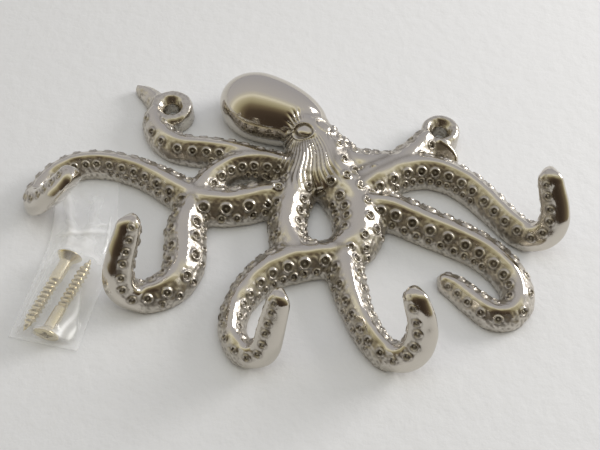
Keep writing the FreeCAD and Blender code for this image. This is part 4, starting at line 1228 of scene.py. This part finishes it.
# Opacity rises along the creases and in the painted highlight streaks.
seen = math_node(tree, "ADD", seen, math_node(tree, "MULTIPLY", stored(tree, "creases_and_painted_streaks"), 0.55))
tree.links.new(math_node(tree, "ADD", seen, 0.05, clamp=True), shader.inputs["Alpha"])
relief(tree, shader, noise(tree, where, 700.0, 3.0), 0.25, 0.0004)
film.data.materials.append(clear)
same_on_node("screw_bag", clear)
said("film material set")

# %% [markdown]
# ## Floor, lights and surroundings
#
# Polished metal shows its surroundings more than itself. A pale floor gives the lower slopes
# their light grey. Behind the object the surroundings are a plain cool grey, a narrow band
# overhead is cream, and towards the viewer they fall off to dark brown: that order makes the
# grey far slopes, the bright line along them and the dark near slopes. One soft light the size
# of a window stands to the right and behind, and a wide dim one overhead fills the shadows.

# %% Floor
FLOOR_CORNERS = np.array([(-900, -700, -0.05), (900, -700, -0.05), (900, 1500, -0.05),
                          (-900, 1500, -0.05)], float)
floor = mesh_object("floor", FLOOR_CORNERS, np.array([[0, 1, 2, 3]]))
floor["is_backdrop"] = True
paper, tree, shader = new_material("pale_floor")
shader.inputs["Base Color"].default_value = (0.74, 0.74, 0.755, 1)
shader.inputs["Roughness"].default_value = 0.75
relief(tree, shader, noise(tree, own_place(tree), 190.0, 5.0), 0.35, 0.0009)
floor.data.materials.append(paper)


# %% Lights
def soft_light(name, place, target, width, height, watts, color):
    """A rectangular area light at place, in millimetres, facing target."""
    data = bpy.data.lights.new(name, "AREA")
    data.shape = "RECTANGLE"
    data.size, data.size_y = width * MM, height * MM
    data.energy = watts
    data.color = color
    light = bpy.data.objects.new(name, data)
    bpy.context.scene.collection.objects.link(light)
    light.location = Vector(place) * MM
    light.rotation_euler = (Vector(target) - Vector(place)).to_track_quat("-Z", "Y").to_euler()
    return light


MIDDLE = (0, -40, 0)
soft_light("window_right", (620, 300, 300), MIDDLE, 330, 260, 3.4, (1.0, 0.98, 0.96))
fill = soft_light("overhead_fill", (120, -60, 800), MIDDLE, 1000, 800, 2.4, (0.88, 0.94, 1.0))
fill.visible_glossy = False           # lights the matte floor; polished metal does not mirror it

# %% Surroundings
world = bpy.data.worlds.new("room")
bpy.context.scene.world = world
world.use_nodes = True
tree = world.node_tree
background = tree.nodes["Background"]
split = tree.nodes.new("ShaderNodeSeparateXYZ")
tree.links.new(tree.nodes.new("ShaderNodeTexCoord").outputs["Generated"], split.inputs[0])
# how far a direction points away from the viewer's side: +1 behind the object, -1 over the viewer
tilt = math_node(tree, "ADD", math_node(tree, "MULTIPLY", split.outputs["Y"], 0.966),
                 math_node(tree, "MULTIPLY", split.outputs["Z"], -0.259))
share = math_node(tree, "ADD", math_node(tree, "MULTIPLY", tilt, 0.5), 0.5, clamp=True)
ramp = tree.nodes.new("ShaderNodeValToRGB")
tree.links.new(share, ramp.inputs[0])
STOPS = [
    (0.00, (0.050, 0.036, 0.026)), (0.10, (0.085, 0.062, 0.043)), (0.17, (0.20, 0.16, 0.10)),
    (0.24, (0.44, 0.40, 0.26)), (0.32, (0.62, 0.58, 0.42)), (0.385, (0.92, 0.89, 0.75)),
    (0.43, (0.68, 0.66, 0.58)), (0.52, (0.58, 0.57, 0.58)), (1.00, (0.47, 0.47, 0.51)),
]
marks = ramp.color_ramp.elements
for mark, (position, color) in zip((marks[0], marks[1]), (STOPS[0], STOPS[-1])):
    mark.position, mark.color = position, (*color, 1)
for position, color in STOPS[1:-1]:
    marks.new(position).color = (*color, 1)
tree.links.new(ramp.outputs["Color"], background.inputs["Color"])
background.inputs["Strength"].default_value = 1.0
bpy.context.scene.view_settings.view_transform = "Standard"
said("floor, light and surroundings set")

VISUAL_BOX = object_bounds()
said("visual box %s %s mm" % tuple([round(c / MM, 1) for c in corner] for corner in VISUAL_BOX))
